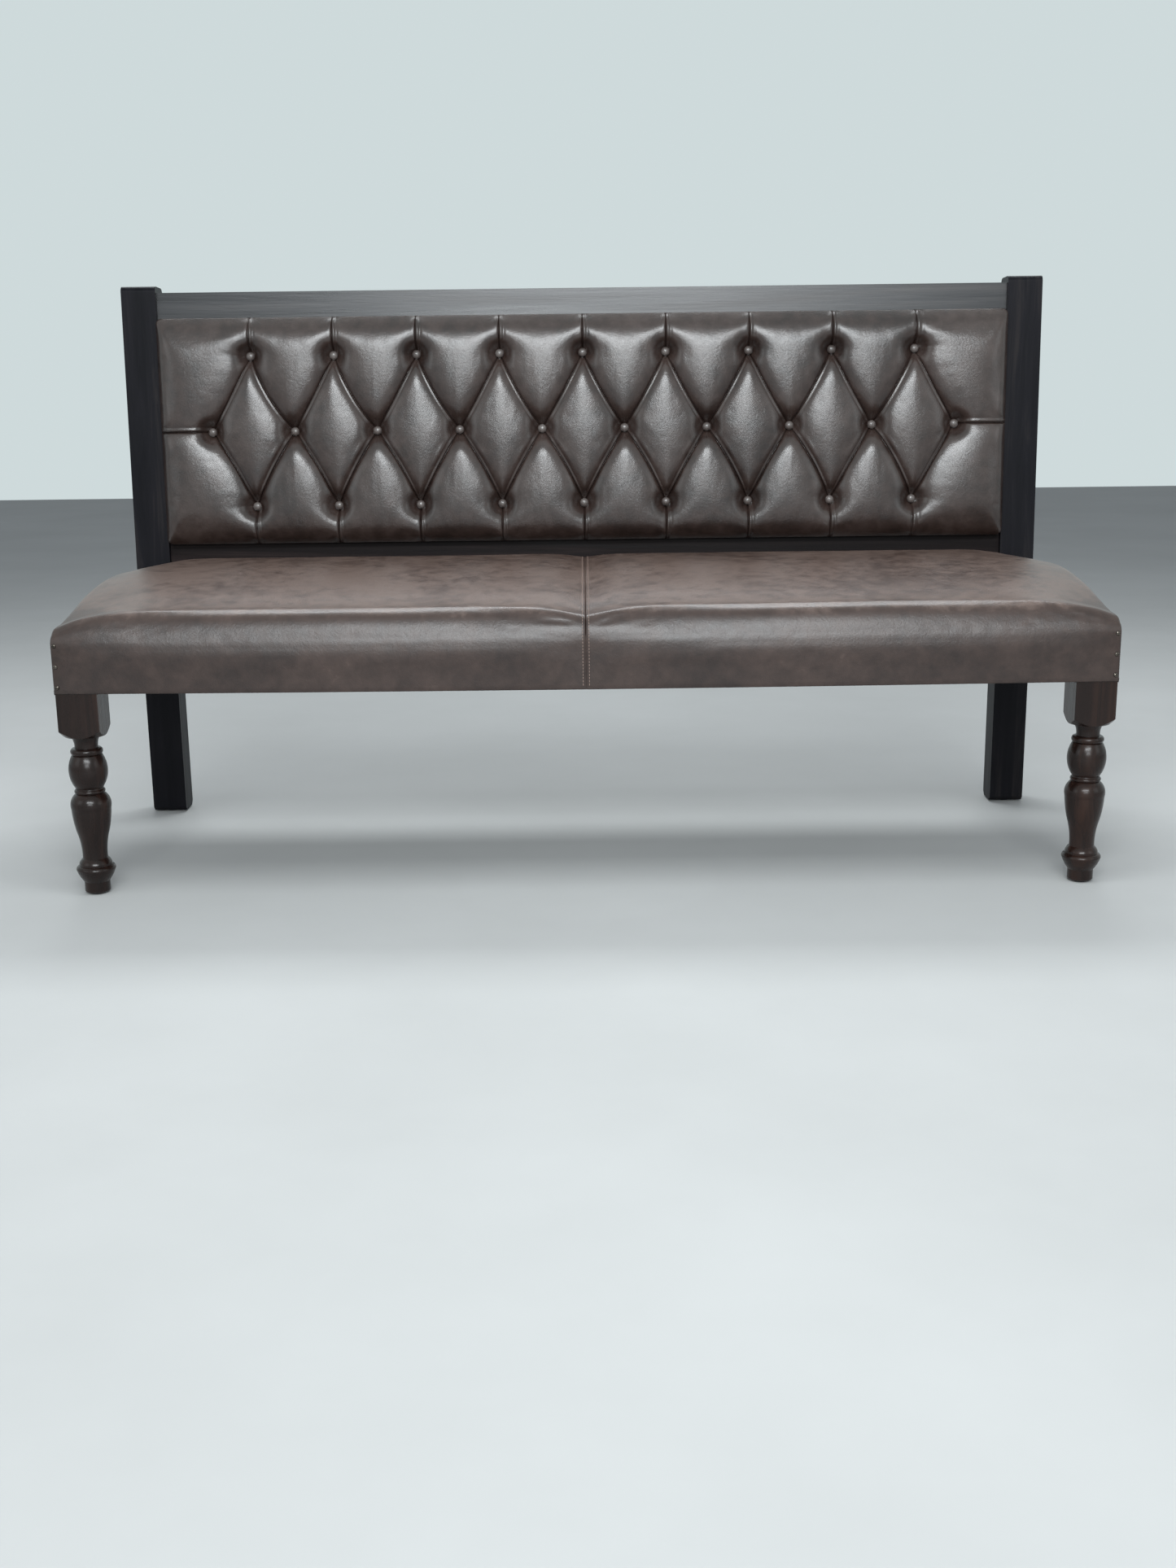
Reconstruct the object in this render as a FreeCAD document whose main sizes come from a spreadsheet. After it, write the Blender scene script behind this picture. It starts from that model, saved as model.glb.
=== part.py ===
import FreeCAD, Part
import math
import os
import Sketcher
from FreeCAD import Placement, Rotation, Vector

# A bench settee: a leather seat box on turned front legs, bolted to a raked back frame that carries
# a deep-buttoned leather pad. Millimetres, +Z up, +X to the right, +Y towards the back. The origin is
# on the floor under the middle of the whole piece.

SIZES = [
    ("frame_width", 1800, "outer face to outer face of the posts, and of the front leg blocks"),
    ("seat_box_depth", 586, "front face of the leg blocks to rear face of the rear rail"),
    ("rail_bottom", 363, "floor to the underside of the seat rails"),
    ("rail_height", 86, "height of the seat rails"),
    ("rail_thickness", 28, "thickness of the seat rails"),
    ("leg_block", 70, "side of the front leg's square block"),
    ("glide_thickness", 3, "thickness of a foot glide"),
    ("glide_radius", 15, "radius of a foot glide"),
    ("glide_ease", 1, "bevel around the foot glide"),
    ("glide_pin_radius", 1.5, "radius of the glide's nail"),
    ("glide_pin_length", 16, "length of the glide's nail"),
    ("foot_radius", 22, "turned leg: the foot"),
    ("foot_ease", 2, "turned leg: eased bottom edge"),
    ("foot_top", 22, "turned leg: where the foot starts to flare"),
    ("collar_radius", 33.8, "turned leg: the widest part of the collar"),
    ("collar_height", 44.4, "turned leg: floor to the collar's widest part"),
    ("collar_step_radius", 28, "turned leg: the step above the collar"),
    ("collar_step_height", 51, "turned leg: floor to that step"),
    ("collar_step_rise", 4, "turned leg: height of that step"),
    ("collar_flare_bulge", 1.2, "turned leg: rounding of the flare under the collar"),
    ("collar_top_bulge", 1.6, "turned leg: rounding over the collar"),
    ("neck_bulge", 0.8, "turned leg: rounding from the step to the neck"),
    ("vase_hollow", -2.2, "turned leg: hollow of the vase's lower curve"),
    ("vase_low_bulge", 1, "turned leg: rounding below the vase's widest part"),
    ("vase_top_bulge", 4.6, "turned leg: rounding above it"),
    ("neck_radius", 21.5, "turned leg: the neck under the vase"),
    ("neck_height", 64, "turned leg: floor to the neck"),
    ("vase_waist_radius", 28, "turned leg: where the vase's curve turns"),
    ("vase_waist_height", 113, "turned leg: floor to that turn"),
    ("vase_radius", 33.8, "turned leg: the widest part of the vase"),
    ("vase_height", 153, "turned leg: floor to the vase's widest part"),
    ("vase_top_radius", 24, "turned leg: the top of the vase"),
    ("vase_top_height", 181, "turned leg: floor to the top of the vase"),
    ("low_bead_height", 7, "turned leg: height of the bead on the vase"),
    ("low_bead_bulge", 2.2, "turned leg: how far that bead stands out"),
    ("ball_neck", 2.5, "turned leg: short neck under the ball"),
    ("ball_bottom_radius", 23.5, "turned leg: under the ball"),
    ("ball_top_radius", 26, "turned leg: over the ball"),
    ("ball_height", 58, "turned leg: height of the ball"),
    ("ball_bulge", 8.3, "turned leg: how far the ball stands out"),
    ("bead_step", 1, "turned leg: the small steps beside the upper bead"),
    ("top_bead_radius", 24.5, "turned leg: the edges of the upper bead"),
    ("top_bead_height", 11, "turned leg: height of the upper bead"),
    ("top_bead_bulge", 3, "turned leg: how far that bead stands out"),
    ("cove_radius", 20, "turned leg: the narrow end of the cove"),
    ("cove_top_radius", 25.5, "turned leg: the wide end of the cove"),
    ("cove_bulge", -2, "turned leg: how far the cove is hollowed"),
    ("shoulder_height", 283, "turned leg: floor to the underside of the block"),
    ("shoulder_rise", 16, "turned leg: how far up the block's corners are turned off"),
    ("shoulder_reach", 18, "turned leg: how far beyond the block's faces that cut runs"),
    ("turning_overlap", 2, "turned leg: how far the turning runs into the block"),
    ("post_width", 67, "rear post, across the settee"),
    ("post_depth", 60, "rear post, front to back"),
    ("bend_height", 400, "floor to the bend in the rear post"),
    ("post_rise", 652, "length of the post above its bend, along the slope"),
    ("back_rake", 3.2, "lean of the back, in degrees"),
    ("post_top_round", 11, "rounding of the post's top edges"),
    ("post_foot_bevel", 8, "bevel around the post's foot"),
    ("tenon_thickness", 12, "thickness of every rail tenon"),
    ("tenon_shoulder", 15, "step above and below every rail tenon"),
    ("tenon_length", 32, "length of every rail tenon"),
    ("joint_clearance", 0.2, "clearance around a tenon"),
    ("joint_end_clearance", 1, "clearance at the end of a tenon, dowel or screw"),
    ("cross_rail_spacing", 430, "centre to centre of the seat's cross rails"),
    ("cross_rail_height", 50, "height of the cross rails"),
    ("dowel_radius", 5, "radius of a dowel"),
    ("dowel_in_rail", 20, "dowel length in the long rail"),
    ("dowel_in_end", 30, "dowel length in the rail that meets it"),
    ("dowel_inset", 13, "dowel to the top or bottom edge of the cross rail"),
    ("dowel_ease", 1, "dowel: bevel at its ends"),
    ("overrun", 1, "how far a cutting or joining shape runs past its neighbour"),
    ("hole_clearance", 0.3, "radial clearance around a dowel, screw, nail or twine"),
    ("front_block_reach", 70, "front corner block: reach along each rail, past the leg"),
    ("rear_block_reach", 90, "rear corner block: reach along each rail"),
    ("corner_block_lift", 5, "corner blocks: above the underside of the rails"),
    ("corner_block_height", 74, "corner blocks: height"),
    ("block_screw_radius", 2.5, "corner block screw: shank"),
    ("block_screw_head", 5, "corner block screw: head radius"),
    ("block_screw_taper", 3, "corner block screw: depth of the tapered head"),
    ("block_screw_length", 50, "corner block screw: length"),
    ("block_screw_spacing", 34, "corner block screws: centre to centre"),
    ("coach_radius", 5, "coach screw: shank"),
    ("coach_head_radius", 9.8, "coach screw: across the corners of its head, halved"),
    ("coach_head_height", 7, "coach screw: height of its head"),
    ("coach_bite", 25, "coach screw: length in the rear corner block"),
    ("coach_recess_radius", 12, "coach screw: recess in the back of the post"),
    ("coach_recess_depth", 10, "coach screw: depth of that recess"),
    ("coach_inset", 45, "coach screw to the outer face of the post"),
    ("coach_low", 22, "lower coach screw above the underside of the rails"),
    ("coach_spacing", 40, "coach screws: centre to centre"),
    ("washer_radius", 10, "coach washer: radius"),
    ("washer_thickness", 2, "coach washer: thickness"),
    ("cover_thickness", 2, "leather"),
    ("flange_width", 22, "leather turned under the seat rails"),
    ("cover_leg_clearance", 0.3, "leather to the leg where it is cut around it"),
    ("lining_thickness", 1, "dust cloth"),
    ("lining_inset", 12, "dust cloth to the edge of the seat box"),
    ("lining_leg_clearance", 3, "dust cloth to the front leg"),
    ("strap_width", 50, "webbing strap: width"),
    ("strap_thickness", 2, "webbing strap: thickness"),
    ("strap_spacing", 120, "webbing straps: centre to centre"),
    ("strap_count", 14, "webbing straps"),
    ("strap_inset", 4, "webbing strap to the outer edge of its rails"),
    ("hessian_thickness", 1, "hessian over the webbing"),
    ("hessian_inset", 2, "hessian to the edge of the seat box"),
    ("foam_gap", 0.3, "filling to the leather"),
    ("front_break", 1, "hessian to where the seat's front starts to round over"),
    ("front_round", 24, "front of the seat to its front ridge"),
    ("ridge_rise", 43, "rails to the seat's front ridge"),
    ("crown_rise", 77, "rails to the seat's crown"),
    ("rear_rise", 75, "rails to the seat's rear edge"),
    ("rear_round", 22, "back of the seat to its rear edge"),
    ("rear_break", 9, "hessian to where the seat's back starts to round over"),
    ("end_drop", 36, "how far the seat drops at its ends"),
    ("ridge_end_drop", 22, "how far its front ridge drops there"),
    ("end_round_length", 150, "length over which the seat rounds down to its ends"),
    ("seam_dip", 8, "how far the centre seam draws the seat down"),
    ("seam_reach", 60, "how far from the seam that starts"),
    ("nail_radius", 4, "corner nail: head radius"),
    ("nail_dome", 2.2, "corner nail: height of its head"),
    ("nail_shank_radius", 1, "corner nail: shank radius"),
    ("nail_length", 14, "corner nail: shank length"),
    ("nail_tip", 2, "corner nail: length of its point"),
    ("nail_inset", 5, "corner nail to the leg block's outer face"),
    ("nail_first", 9.5, "lowest nail above the underside of the rails"),
    ("nail_pitch", 35.5, "corner nails: centre to centre"),
    ("nail_count", 3, "nails at each corner"),
    ("rail_setback", 12, "front of the posts to the front of the back rails"),
    ("back_rail_thickness", 30, "thickness of the back rails"),
    ("top_rail_top", 640, "bend to the top of the top rail, along the slope"),
    ("top_rail_height", 90, "height of the top rail"),
    ("bottom_rail_bottom", 70, "bend to the underside of the bottom rail"),
    ("bottom_rail_height", 125, "height of the bottom rail"),
    ("stile_width", 45, "width of the back's uprights"),
    ("stile_thickness", 24, "thickness of the back's uprights"),
    ("stile_tenon_thickness", 10, "upright's tenon: thickness"),
    ("stile_tenon_width", 30, "upright's tenon: width"),
    ("stile_tenon_length", 20, "upright's tenon: length"),
    ("stile_step", 1.75, "uprights from the middle, in button pitches"),
    ("pad_side_gap", 1, "back pad to the post"),
    ("pad_bottom", 152, "bend to the pad's lower edge, along the slope"),
    ("pad_height", 437, "height of the pad"),
    ("pad_flange", 30, "leather turned behind the pad's board"),
    ("board_thickness", 9, "the pad's board"),
    ("groove_height", 12, "pad's board to the bottom of the pleats"),
    ("puff_rise", 23, "pleats to the top of the puffs"),
    ("puff_span", 44, "width over which a puff rounds over"),
    ("groove_half", 2, "half the width of a pleat"),
    ("button_pitch", 162.4, "buttons: centre to centre along a row"),
    ("button_row_gap", 145, "buttons: row to row"),
    ("long_row_count", 10, "buttons in the middle row; the others have one fewer"),
    ("button_radius", 8.5, "button: radius"),
    ("button_ease", 1, "button: bevel around its back"),
    ("button_rim", 2, "button: height of its rim"),
    ("button_dome", 5, "button: height of its dome"),
    ("button_play", 1.5, "button to the leather around it"),
    ("dimple_flare", 9, "how much the dimple widens towards its mouth"),
    ("twine_radius", 1, "button twine: radius"),
    ("knot_radius", 3, "button twine: radius of its knot"),
    ("knot_length", 4, "button twine: length of its knot"),
    ("twine_washer_radius", 9, "twine washer: radius"),
    ("twine_washer_thickness", 2, "twine washer: thickness"),
    ("pad_screw_radius", 2, "pad screw: shank"),
    ("pad_screw_head", 4, "pad screw: head radius"),
    ("pad_screw_taper", 2.5, "pad screw: depth of the tapered head"),
    ("pad_screw_bite", 7, "pad screw: length in the board"),
    ("pad_screw_inset", 17, "pad screw to the pad's edge"),
    ("pad_screw_pitch", 265, "pad screws: centre to centre"),
    ("pad_screw_count", 7, "pad screws in each rail"),
    ("panel_thickness", 4, "rear lining panel"),
    ("panel_inset", 6, "rear lining panel to the rails' outer edges"),
]

doc = FreeCAD.newDocument("settee")
sheet = doc.addObject("Spreadsheet::Sheet", "dims")
for row, (alias, number, meaning) in enumerate(SIZES, 1):
    sheet.set(f"A{row}", meaning)
    sheet.set(f"B{row}", str(number))
    sheet.setAlias(f"B{row}", alias)
doc.recompute()


class Size:
    """A length together with the sheet formula that drives it."""

    def __init__(self, value, formula):
        self.value = value
        self.formula = formula

    @staticmethod
    def of(thing):
        return thing if isinstance(thing, Size) else Size(float(thing), f"{thing}")

    def __add__(self, other):
        other = Size.of(other)
        return Size(self.value + other.value, f"({self.formula} + {other.formula})")

    def __sub__(self, other):
        other = Size.of(other)
        return Size(self.value - other.value, f"({self.formula} - {other.formula})")

    def __mul__(self, other):
        other = Size.of(other)
        return Size(self.value * other.value, f"({self.formula} * {other.formula})")

    def __truediv__(self, other):
        other = Size.of(other)
        return Size(self.value / other.value, f"({self.formula} / {other.formula})")

    def __radd__(self, other):
        return Size.of(other) + self

    def __rsub__(self, other):
        return Size.of(other) - self

    def __rmul__(self, other):
        return Size.of(other) * self

    def __neg__(self):
        return Size(-self.value, f"(-{self.formula})")


def trig(name, angle):
    """Sine, cosine or tangent of an angle held in degrees."""
    return Size(getattr(math, name)(math.radians(angle.value)), f"{name}({angle.formula})")


def root(area):
    return Size(math.sqrt(area.value), f"sqrt({area.formula})")


def cap_bulge(radius, height):
    """The bulge of a half outline that turns into part of a sphere."""
    reach = radius * radius + height * height
    sphere = reach / (height * 2)
    return sphere - root(sphere * sphere - reach / 4)


class Sheet:
    """The sheet's sizes by name."""

    def __getattr__(self, alias):
        return Size(float(sheet.get(alias)), f"dims.{alias}")


d = Sheet()
nodes = {}

# Places that several pieces share. "front" is the plane of the leg blocks' front faces and
# "post_front" that of the posts' front faces. The whole depth is halved so that the origin is central.
half = d.frame_width / 2
lean_sin = trig("sin", d.back_rake)
lean_cos = trig("cos", d.back_rake)
post_back_reach = (
    (d.post_depth - d.post_top_round) * lean_cos
    + (d.post_rise - d.post_top_round) * lean_sin
    + d.post_top_round
)
whole_depth = d.nail_dome + d.cover_thickness * 2 + d.seat_box_depth + post_back_reach
front = d.nail_dome + d.cover_thickness - whole_depth / 2
box_back = front + d.seat_box_depth
post_front = box_back + d.cover_thickness
rail_top = d.rail_bottom + d.rail_height
cover_bottom = d.rail_bottom - d.cover_thickness
strap_top = rail_top + d.strap_thickness
hessian_top = strap_top + d.hessian_thickness
leg_x = half - d.leg_block / 2
leg_y = front + d.leg_block / 2
post_x = half - d.post_width / 2
inner_post = half - d.post_width
rail_back = d.rail_setback + d.back_rail_thickness
top_rail_bottom = d.top_rail_top - d.top_rail_height
bottom_rail_top = d.bottom_rail_bottom + d.bottom_rail_height
board_back = d.rail_setback - d.cover_thickness
board_front = board_back - d.board_thickness
pad_half = inner_post - d.pad_side_gap
pad_middle = d.pad_bottom + d.pad_height / 2
ZERO = Size.of(0)
SIDES = (("left", -1), ("right", 1))
TURN_NONE = (Vector(0, 0, 1), 0)
TURN_BACK = (Vector(1, 0, 0), -90)
TURN_FRONT = (Vector(1, 0, 0), 90)

# The leaning back frame is drawn upright from the posts' bend and then leaned back about it.
LEAN = (
    f"placement(vector(0; {post_front.formula}; {d.bend_height.formula}); "
    f"rotation(vector(1; 0; 0); -{d.back_rake.formula}))"
)


def place(thing, x, y, z, turn=TURN_NONE, leaning=False):
    """Bind a piece's place to the sheet, in the room or in the leaning back frame."""
    axis, angle = turn
    x, y, z = Size.of(x), Size.of(y), Size.of(z)
    own = (
        f"placement(vector({x.formula}; {y.formula}; {z.formula}); "
        f"rotation(vector({axis.x}; {axis.y}; {axis.z}); {angle}))"
    )
    thing.setExpression("Placement", f"{LEAN} * {own}" if leaning else own)


def block(name, x, y, z, leaning=False):
    """A rectangular block between two limits each way."""
    thing = doc.addObject("Part::Box", name)
    for side, (low, high) in zip(("Length", "Width", "Height"), (x, y, z)):
        thing.setExpression(side, (high - low).formula)
    place(thing, x[0], y[0], z[0], TURN_NONE, leaning)
    return thing


def rod(name, radius, length, x, y, z, turn=TURN_NONE, leaning=False):
    """A round rod that starts at a point and runs up, or along the turned direction."""
    thing = doc.addObject("Part::Cylinder", name)
    thing.setExpression("Radius", radius.formula)
    thing.setExpression("Height", length.formula)
    place(thing, x, y, z, turn, leaning)
    return thing


def joined(name, pieces):
    thing = doc.addObject("Part::MultiFuse", name)
    thing.Shapes = pieces
    return thing


def gathered(name, pieces):
    thing = doc.addObject("Part::Compound", name)
    thing.Links = pieces
    return thing


def cut(name, base, tools):
    thing = doc.addObject("Part::Cut", name)
    thing.Base = base
    thing.Tool = tools[0] if len(tools) == 1 else gathered(f"{name}_cuts", tools)
    return thing


def keep(name, thing):
    """Name a finished piece, so that it is written out under that name."""
    thing.Label = name
    nodes[name] = thing
    return thing


def outline(body, name, role, points):
    """A closed sketch on one of the body's planes. Each point is (across, up, bulge to the next)."""
    planes = {feature.Role: feature for feature in body.Origin.OriginFeatures}
    sketch = body.newObject("Sketcher::SketchObject", name)
    sketch.AttachmentSupport = [(planes[role], "")]
    sketch.MapMode = "FlatFace"
    points = [(Size.of(u), Size.of(v), bulge) for u, v, bulge in points]
    flat = [Vector(u.value, v.value, 0) for u, v, _ in points]
    count = len(points)
    for index, (u, v, bulge) in enumerate(points):
        start, end = flat[index], flat[(index + 1) % count]
        if bulge is None:
            sketch.addGeometry(Part.LineSegment(start, end), False)
            continue
        along = end - start
        aside = Vector(along.y, -along.x, 0).normalize()
        middle = (start + end) * 0.5 + aside * bulge.value
        first, last = (start, end) if bulge.value > 0 else (end, start)
        sketch.addGeometry(Part.Arc(first, middle, last), False)
    # Every arc runs anticlockwise, so the end of it nearest each corner is looked up.
    ends = [
        {1: sketch.Geometry[index].StartPoint, 2: sketch.Geometry[index].EndPoint}
        for index in range(count)
    ]

    def end_at(index, corner):
        return min((1, 2), key=lambda which: ends[index][which].distanceToPoint(corner))

    for index, (u, v, bulge) in enumerate(points):
        corner = flat[index]
        before = (index - 1) % count
        here = end_at(index, corner)
        there = end_at(before, corner)
        sketch.addConstraint(Sketcher.Constraint("Coincident", before, there, index, here))
        for kind, size, axis in (("DistanceX", u, -2), ("DistanceY", v, -1)):
            if size.value == 0:
                sketch.addConstraint(Sketcher.Constraint("PointOnObject", index, here, axis))
                continue
            number = sketch.addConstraint(Sketcher.Constraint(kind, -1, 1, index, here, size.value))
            sketch.setExpression(f"Constraints[{number}]", size.formula)
        if bulge is not None:
            u_next, v_next, _ = points[(index + 1) % count]
            wide, tall = u_next - u, v_next - v
            depth = bulge if bulge.value > 0 else -bulge
            radius = ((wide * wide + tall * tall) / 4 + depth * depth) / (depth * 2)
            number = sketch.addConstraint(Sketcher.Constraint("Radius", index, radius.value))
            sketch.setExpression(f"Constraints[{number}]", radius.formula)
    return sketch


def turned(name, points):
    """A body turned about the upright axis from its half outline."""
    body = doc.addObject("PartDesign::Body", name)
    sketch = outline(body, f"{name}_outline", "XZ_Plane", points)
    turning = body.newObject("PartDesign::Revolution", f"{name}_turning")
    turning.Profile = sketch
    turning.ReferenceAxis = (sketch, ["V_Axis"])
    turning.Angle = 360
    return body


def padded_up(body, sketch, length):
    pad = body.newObject("PartDesign::Pad", f"{sketch.Name}_pad")
    pad.Profile = sketch
    pad.setExpression("Length", length.formula)
    return pad


def lean_placement():
    return Placement(
        Vector(0, post_front.value, d.bend_height.value), Rotation(Vector(1, 0, 0), -d.back_rake.value)
    )


def copies(name, master, spots, turn=TURN_NONE, leaning=False):
    """One separate solid of the master's shape at each spot, as one group."""
    doc.recompute()
    axis, angle = turn
    solids = []
    for spot in spots:
        solid = master.Shape.copy()
        there = Placement(Vector(*(Size.of(part).value for part in spot)), Rotation(axis, angle))
        solid.Placement = there * solid.Placement
        solids.append(solid)
    group = doc.addObject("Part::Feature", name)
    group.Shape = Part.makeCompound(solids)
    if leaning:
        group.Placement = lean_placement()
    return group


def formed(name, shape, leaning=False):
    """A soft form that was built in code from the sheet's sizes."""
    thing = doc.addObject("Part::Feature", name)
    thing.Shape = shape
    if leaning:
        thing.Placement = lean_placement()
    return thing


def screw_outline(shank, head, taper, length, gap, run_on):
    """A countersunk screw with its head's flat at zero, pointing down, or the hole that takes it."""
    return [
        (ZERO, -length - run_on, None),
        (shank + gap, -length - run_on, None),
        (shank + gap, -taper - gap, None),
        (head + gap, gap, None),
        (ZERO, gap, None),
    ]


# Turned front legs. The square block at the top stays inside the seat's corner.
def turned_leg(name):
    vase_bead_top = d.vase_top_height + d.low_bead_height
    ball_bottom = vase_bead_top + d.ball_neck
    ball_top = ball_bottom + d.ball_height
    top_bead_bottom = ball_top + d.bead_step
    top_bead_top = top_bead_bottom + d.top_bead_height
    leg = turned(name, [
        (ZERO, d.glide_thickness, None),
        (d.foot_radius - d.foot_ease, d.glide_thickness, None),
        (d.foot_radius, d.glide_thickness + d.foot_ease, None),
        (d.foot_radius, d.foot_top, d.collar_flare_bulge),
        (d.collar_radius, d.collar_height, d.collar_top_bulge),
        (d.collar_step_radius, d.collar_step_height, None),
        (d.collar_step_radius, d.collar_step_height + d.collar_step_rise, d.neck_bulge),
        (d.neck_radius, d.neck_height, d.vase_hollow),
        (d.vase_waist_radius, d.vase_waist_height, d.vase_low_bulge),
        (d.vase_radius, d.vase_height, d.vase_top_bulge),
        (d.vase_top_radius, d.vase_top_height, d.low_bead_bulge),
        (d.vase_top_radius, vase_bead_top, None),
        (d.ball_bottom_radius, ball_bottom, d.ball_bulge),
        (d.ball_top_radius, ball_top, None),
        (d.top_bead_radius, top_bead_bottom, d.top_bead_bulge),
        (d.top_bead_radius, top_bead_top, None),
        (d.cove_radius, top_bead_top + d.bead_step, d.cove_bulge),
        (d.cove_top_radius, d.shoulder_height, None),
        (d.cove_top_radius, d.shoulder_height + d.turning_overlap, None),
        (ZERO, d.shoulder_height + d.turning_overlap, None),
    ])
    side = d.leg_block / 2
    square = outline(leg, f"{name}_square", "XY_Plane", [
        (-side, -side, None), (side, -side, None), (side, side, None), (-side, side, None)])
    square.setExpression("AttachmentOffset.Base.z", d.shoulder_height.formula)
    padded_up(leg, square, rail_top - d.shoulder_height)
    corner = outline(leg, f"{name}_shoulder", "XZ_Plane", [
        (side, d.shoulder_height - d.overrun, None),
        (side + d.shoulder_reach, d.shoulder_height - d.overrun, None),
        (side + d.shoulder_reach, d.shoulder_height + d.shoulder_rise, None),
        (side, d.shoulder_height, None)])
    groove = leg.newObject("PartDesign::Groove", f"{name}_shoulder_cut")
    groove.Profile = corner
    groove.ReferenceAxis = (corner, ["V_Axis"])
    groove.Angle = 360
    return leg


# Rear posts: upright to the bend, then leaning back, with a rounded top and a bevelled foot.
def square_post(name):
    half_lean = trig("tan", d.back_rake / 2)
    post = doc.addObject("PartDesign::Body", name)
    bevel = d.post_foot_bevel
    profile = outline(post, f"{name}_side", "YZ_Plane", [
        (bevel, d.glide_thickness, None),
        (d.post_depth - bevel, d.glide_thickness, None),
        (d.post_depth, d.glide_thickness + bevel, None),
        (d.post_depth, d.bend_height - d.post_depth * half_lean, None),
        (d.post_rise * lean_sin + d.post_depth * lean_cos,
         d.bend_height + d.post_rise * lean_cos - d.post_depth * lean_sin, None),
        (d.post_rise * lean_sin, d.bend_height + d.post_rise * lean_cos, None),
        (ZERO, d.bend_height, None),
        (ZERO, d.glide_thickness + bevel, None)])
    pad = padded_up(post, profile, d.post_width)
    pad.SideType = "Symmetric"
    doc.recompute()
    rounded = []
    for number, edge in enumerate(pad.Shape.Edges, 1):
        box = edge.BoundBox
        if box.XLength > d.post_width.value / 2 and box.ZMin > d.bend_height.value * 2:
            rounded.append(f"Edge{number}")
    rounding = post.newObject("PartDesign::Fillet", f"{name}_top")
    rounding.Base = (pad, rounded)
    rounding.setExpression("Radius", d.post_top_round.formula)
    return post


# Fastener spots shared by the pieces that a fastener passes through.
def mirrored(x, y, z):
    return [(x * sign, y, z) for _, sign in SIDES]


def coach_spots(y):
    low = d.rail_bottom + d.coach_low
    x = half - d.coach_inset
    return mirrored(x, y, low) + mirrored(x, y, low + d.coach_spacing)


def nail_spots(y):
    spots = []
    for number in range(int(d.nail_count.value)):
        spots += mirrored(half - d.nail_inset, y, d.rail_bottom + d.nail_first + d.nail_pitch * number)
    return spots


def block_screw_spots(sign):
    reach = (d.leg_block - d.rail_thickness + d.front_block_reach) / 2
    x = (half - d.rail_thickness - reach) * sign
    y = front + d.rail_thickness + reach
    middle = d.rail_bottom + d.corner_block_lift + d.corner_block_height / 2
    step = d.block_screw_spacing / 2
    return [(x, y, middle - step), (x, y, middle + step)]


def glide_spots():
    return mirrored(leg_x, leg_y, ZERO) + mirrored(post_x, post_front + d.post_depth / 2, ZERO)


def button_spots(y):
    """Three staggered rows, in the leaning frame; the middle row has one button more."""
    spots = []
    for row in (1, 0, -1):
        count = int(d.long_row_count.value) - abs(row)
        for number in range(count):
            x = d.button_pitch * (number - (count - 1) / 2)
            spots.append((x, y, pad_middle + d.button_row_gap * row))
    return spots


def pad_screw_spots(y):
    count = int(d.pad_screw_count.value)
    low = d.pad_bottom + d.pad_screw_inset
    high = d.pad_bottom + d.pad_height - d.pad_screw_inset
    return [
        (d.pad_screw_pitch * (number - (count - 1) / 2), y, z)
        for z in (low, high) for number in range(count)
    ]


CROSS_RAILS = (("left", -1), ("centre", 0), ("right", 1))
gap = d.hole_clearance
bottom_dowel = d.rail_bottom + d.dowel_inset
top_dowel = d.rail_bottom + d.cross_rail_height - d.dowel_inset
dowel_length = d.dowel_in_rail + d.dowel_in_end
front_joint = front + d.rail_thickness
rear_joint = box_back - d.rail_thickness
side_middle = half - d.rail_thickness / 2
front_dowels = [
    (d.cross_rail_spacing * place_x, front_joint - d.dowel_in_rail, z)
    for _, place_x in CROSS_RAILS for z in (bottom_dowel, top_dowel)
]
rear_dowels = [
    (d.cross_rail_spacing * place_x, rear_joint - d.dowel_in_end, z)
    for _, place_x in CROSS_RAILS for z in (bottom_dowel, top_dowel)
]
side_dowels = []
for z in (d.rail_bottom + d.tenon_shoulder * 2, rail_top - d.tenon_shoulder * 2):
    side_dowels += mirrored(side_middle, rear_joint - d.dowel_in_end, z)

# Fasteners, each drawn once and then repeated.
dowel = turned("dowel", [
    (ZERO, d.joint_end_clearance, None),
    (d.dowel_radius - d.dowel_ease, d.joint_end_clearance, None),
    (d.dowel_radius, d.joint_end_clearance + d.dowel_ease, None),
    (d.dowel_radius, dowel_length - d.joint_end_clearance - d.dowel_ease, None),
    (d.dowel_radius - d.dowel_ease, dowel_length - d.joint_end_clearance, None),
    (ZERO, dowel_length - d.joint_end_clearance, None)])
dowel_hole = rod("dowel_hole", d.dowel_radius + gap, dowel_length, 0, 0, 0)
keep("rail_dowels", copies("rail_dowels", dowel, front_dowels + rear_dowels + side_dowels, TURN_BACK))

block_screw = turned("block_screw", screw_outline(
    d.block_screw_radius, d.block_screw_head, d.block_screw_taper, d.block_screw_length, ZERO, ZERO))
block_screw_hole = turned("block_screw_hole", screw_outline(
    d.block_screw_radius, d.block_screw_head, d.block_screw_taper, d.block_screw_length, gap,
    d.joint_end_clearance))


def diagonal_copies(master, sign):
    """Copies that point from the front corner block's slanted face into the leg."""
    doc.recompute()
    turn = Rotation(Vector(0, 0, 1), 45 * sign) * Rotation(Vector(1, 0, 0), -90)
    solids = []
    for spot in block_screw_spots(sign):
        solid = master.Shape.copy()
        solid.Placement = Placement(Vector(*(Size.of(part).value for part in spot)), turn)
        solids.append(solid)
    return solids


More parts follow.
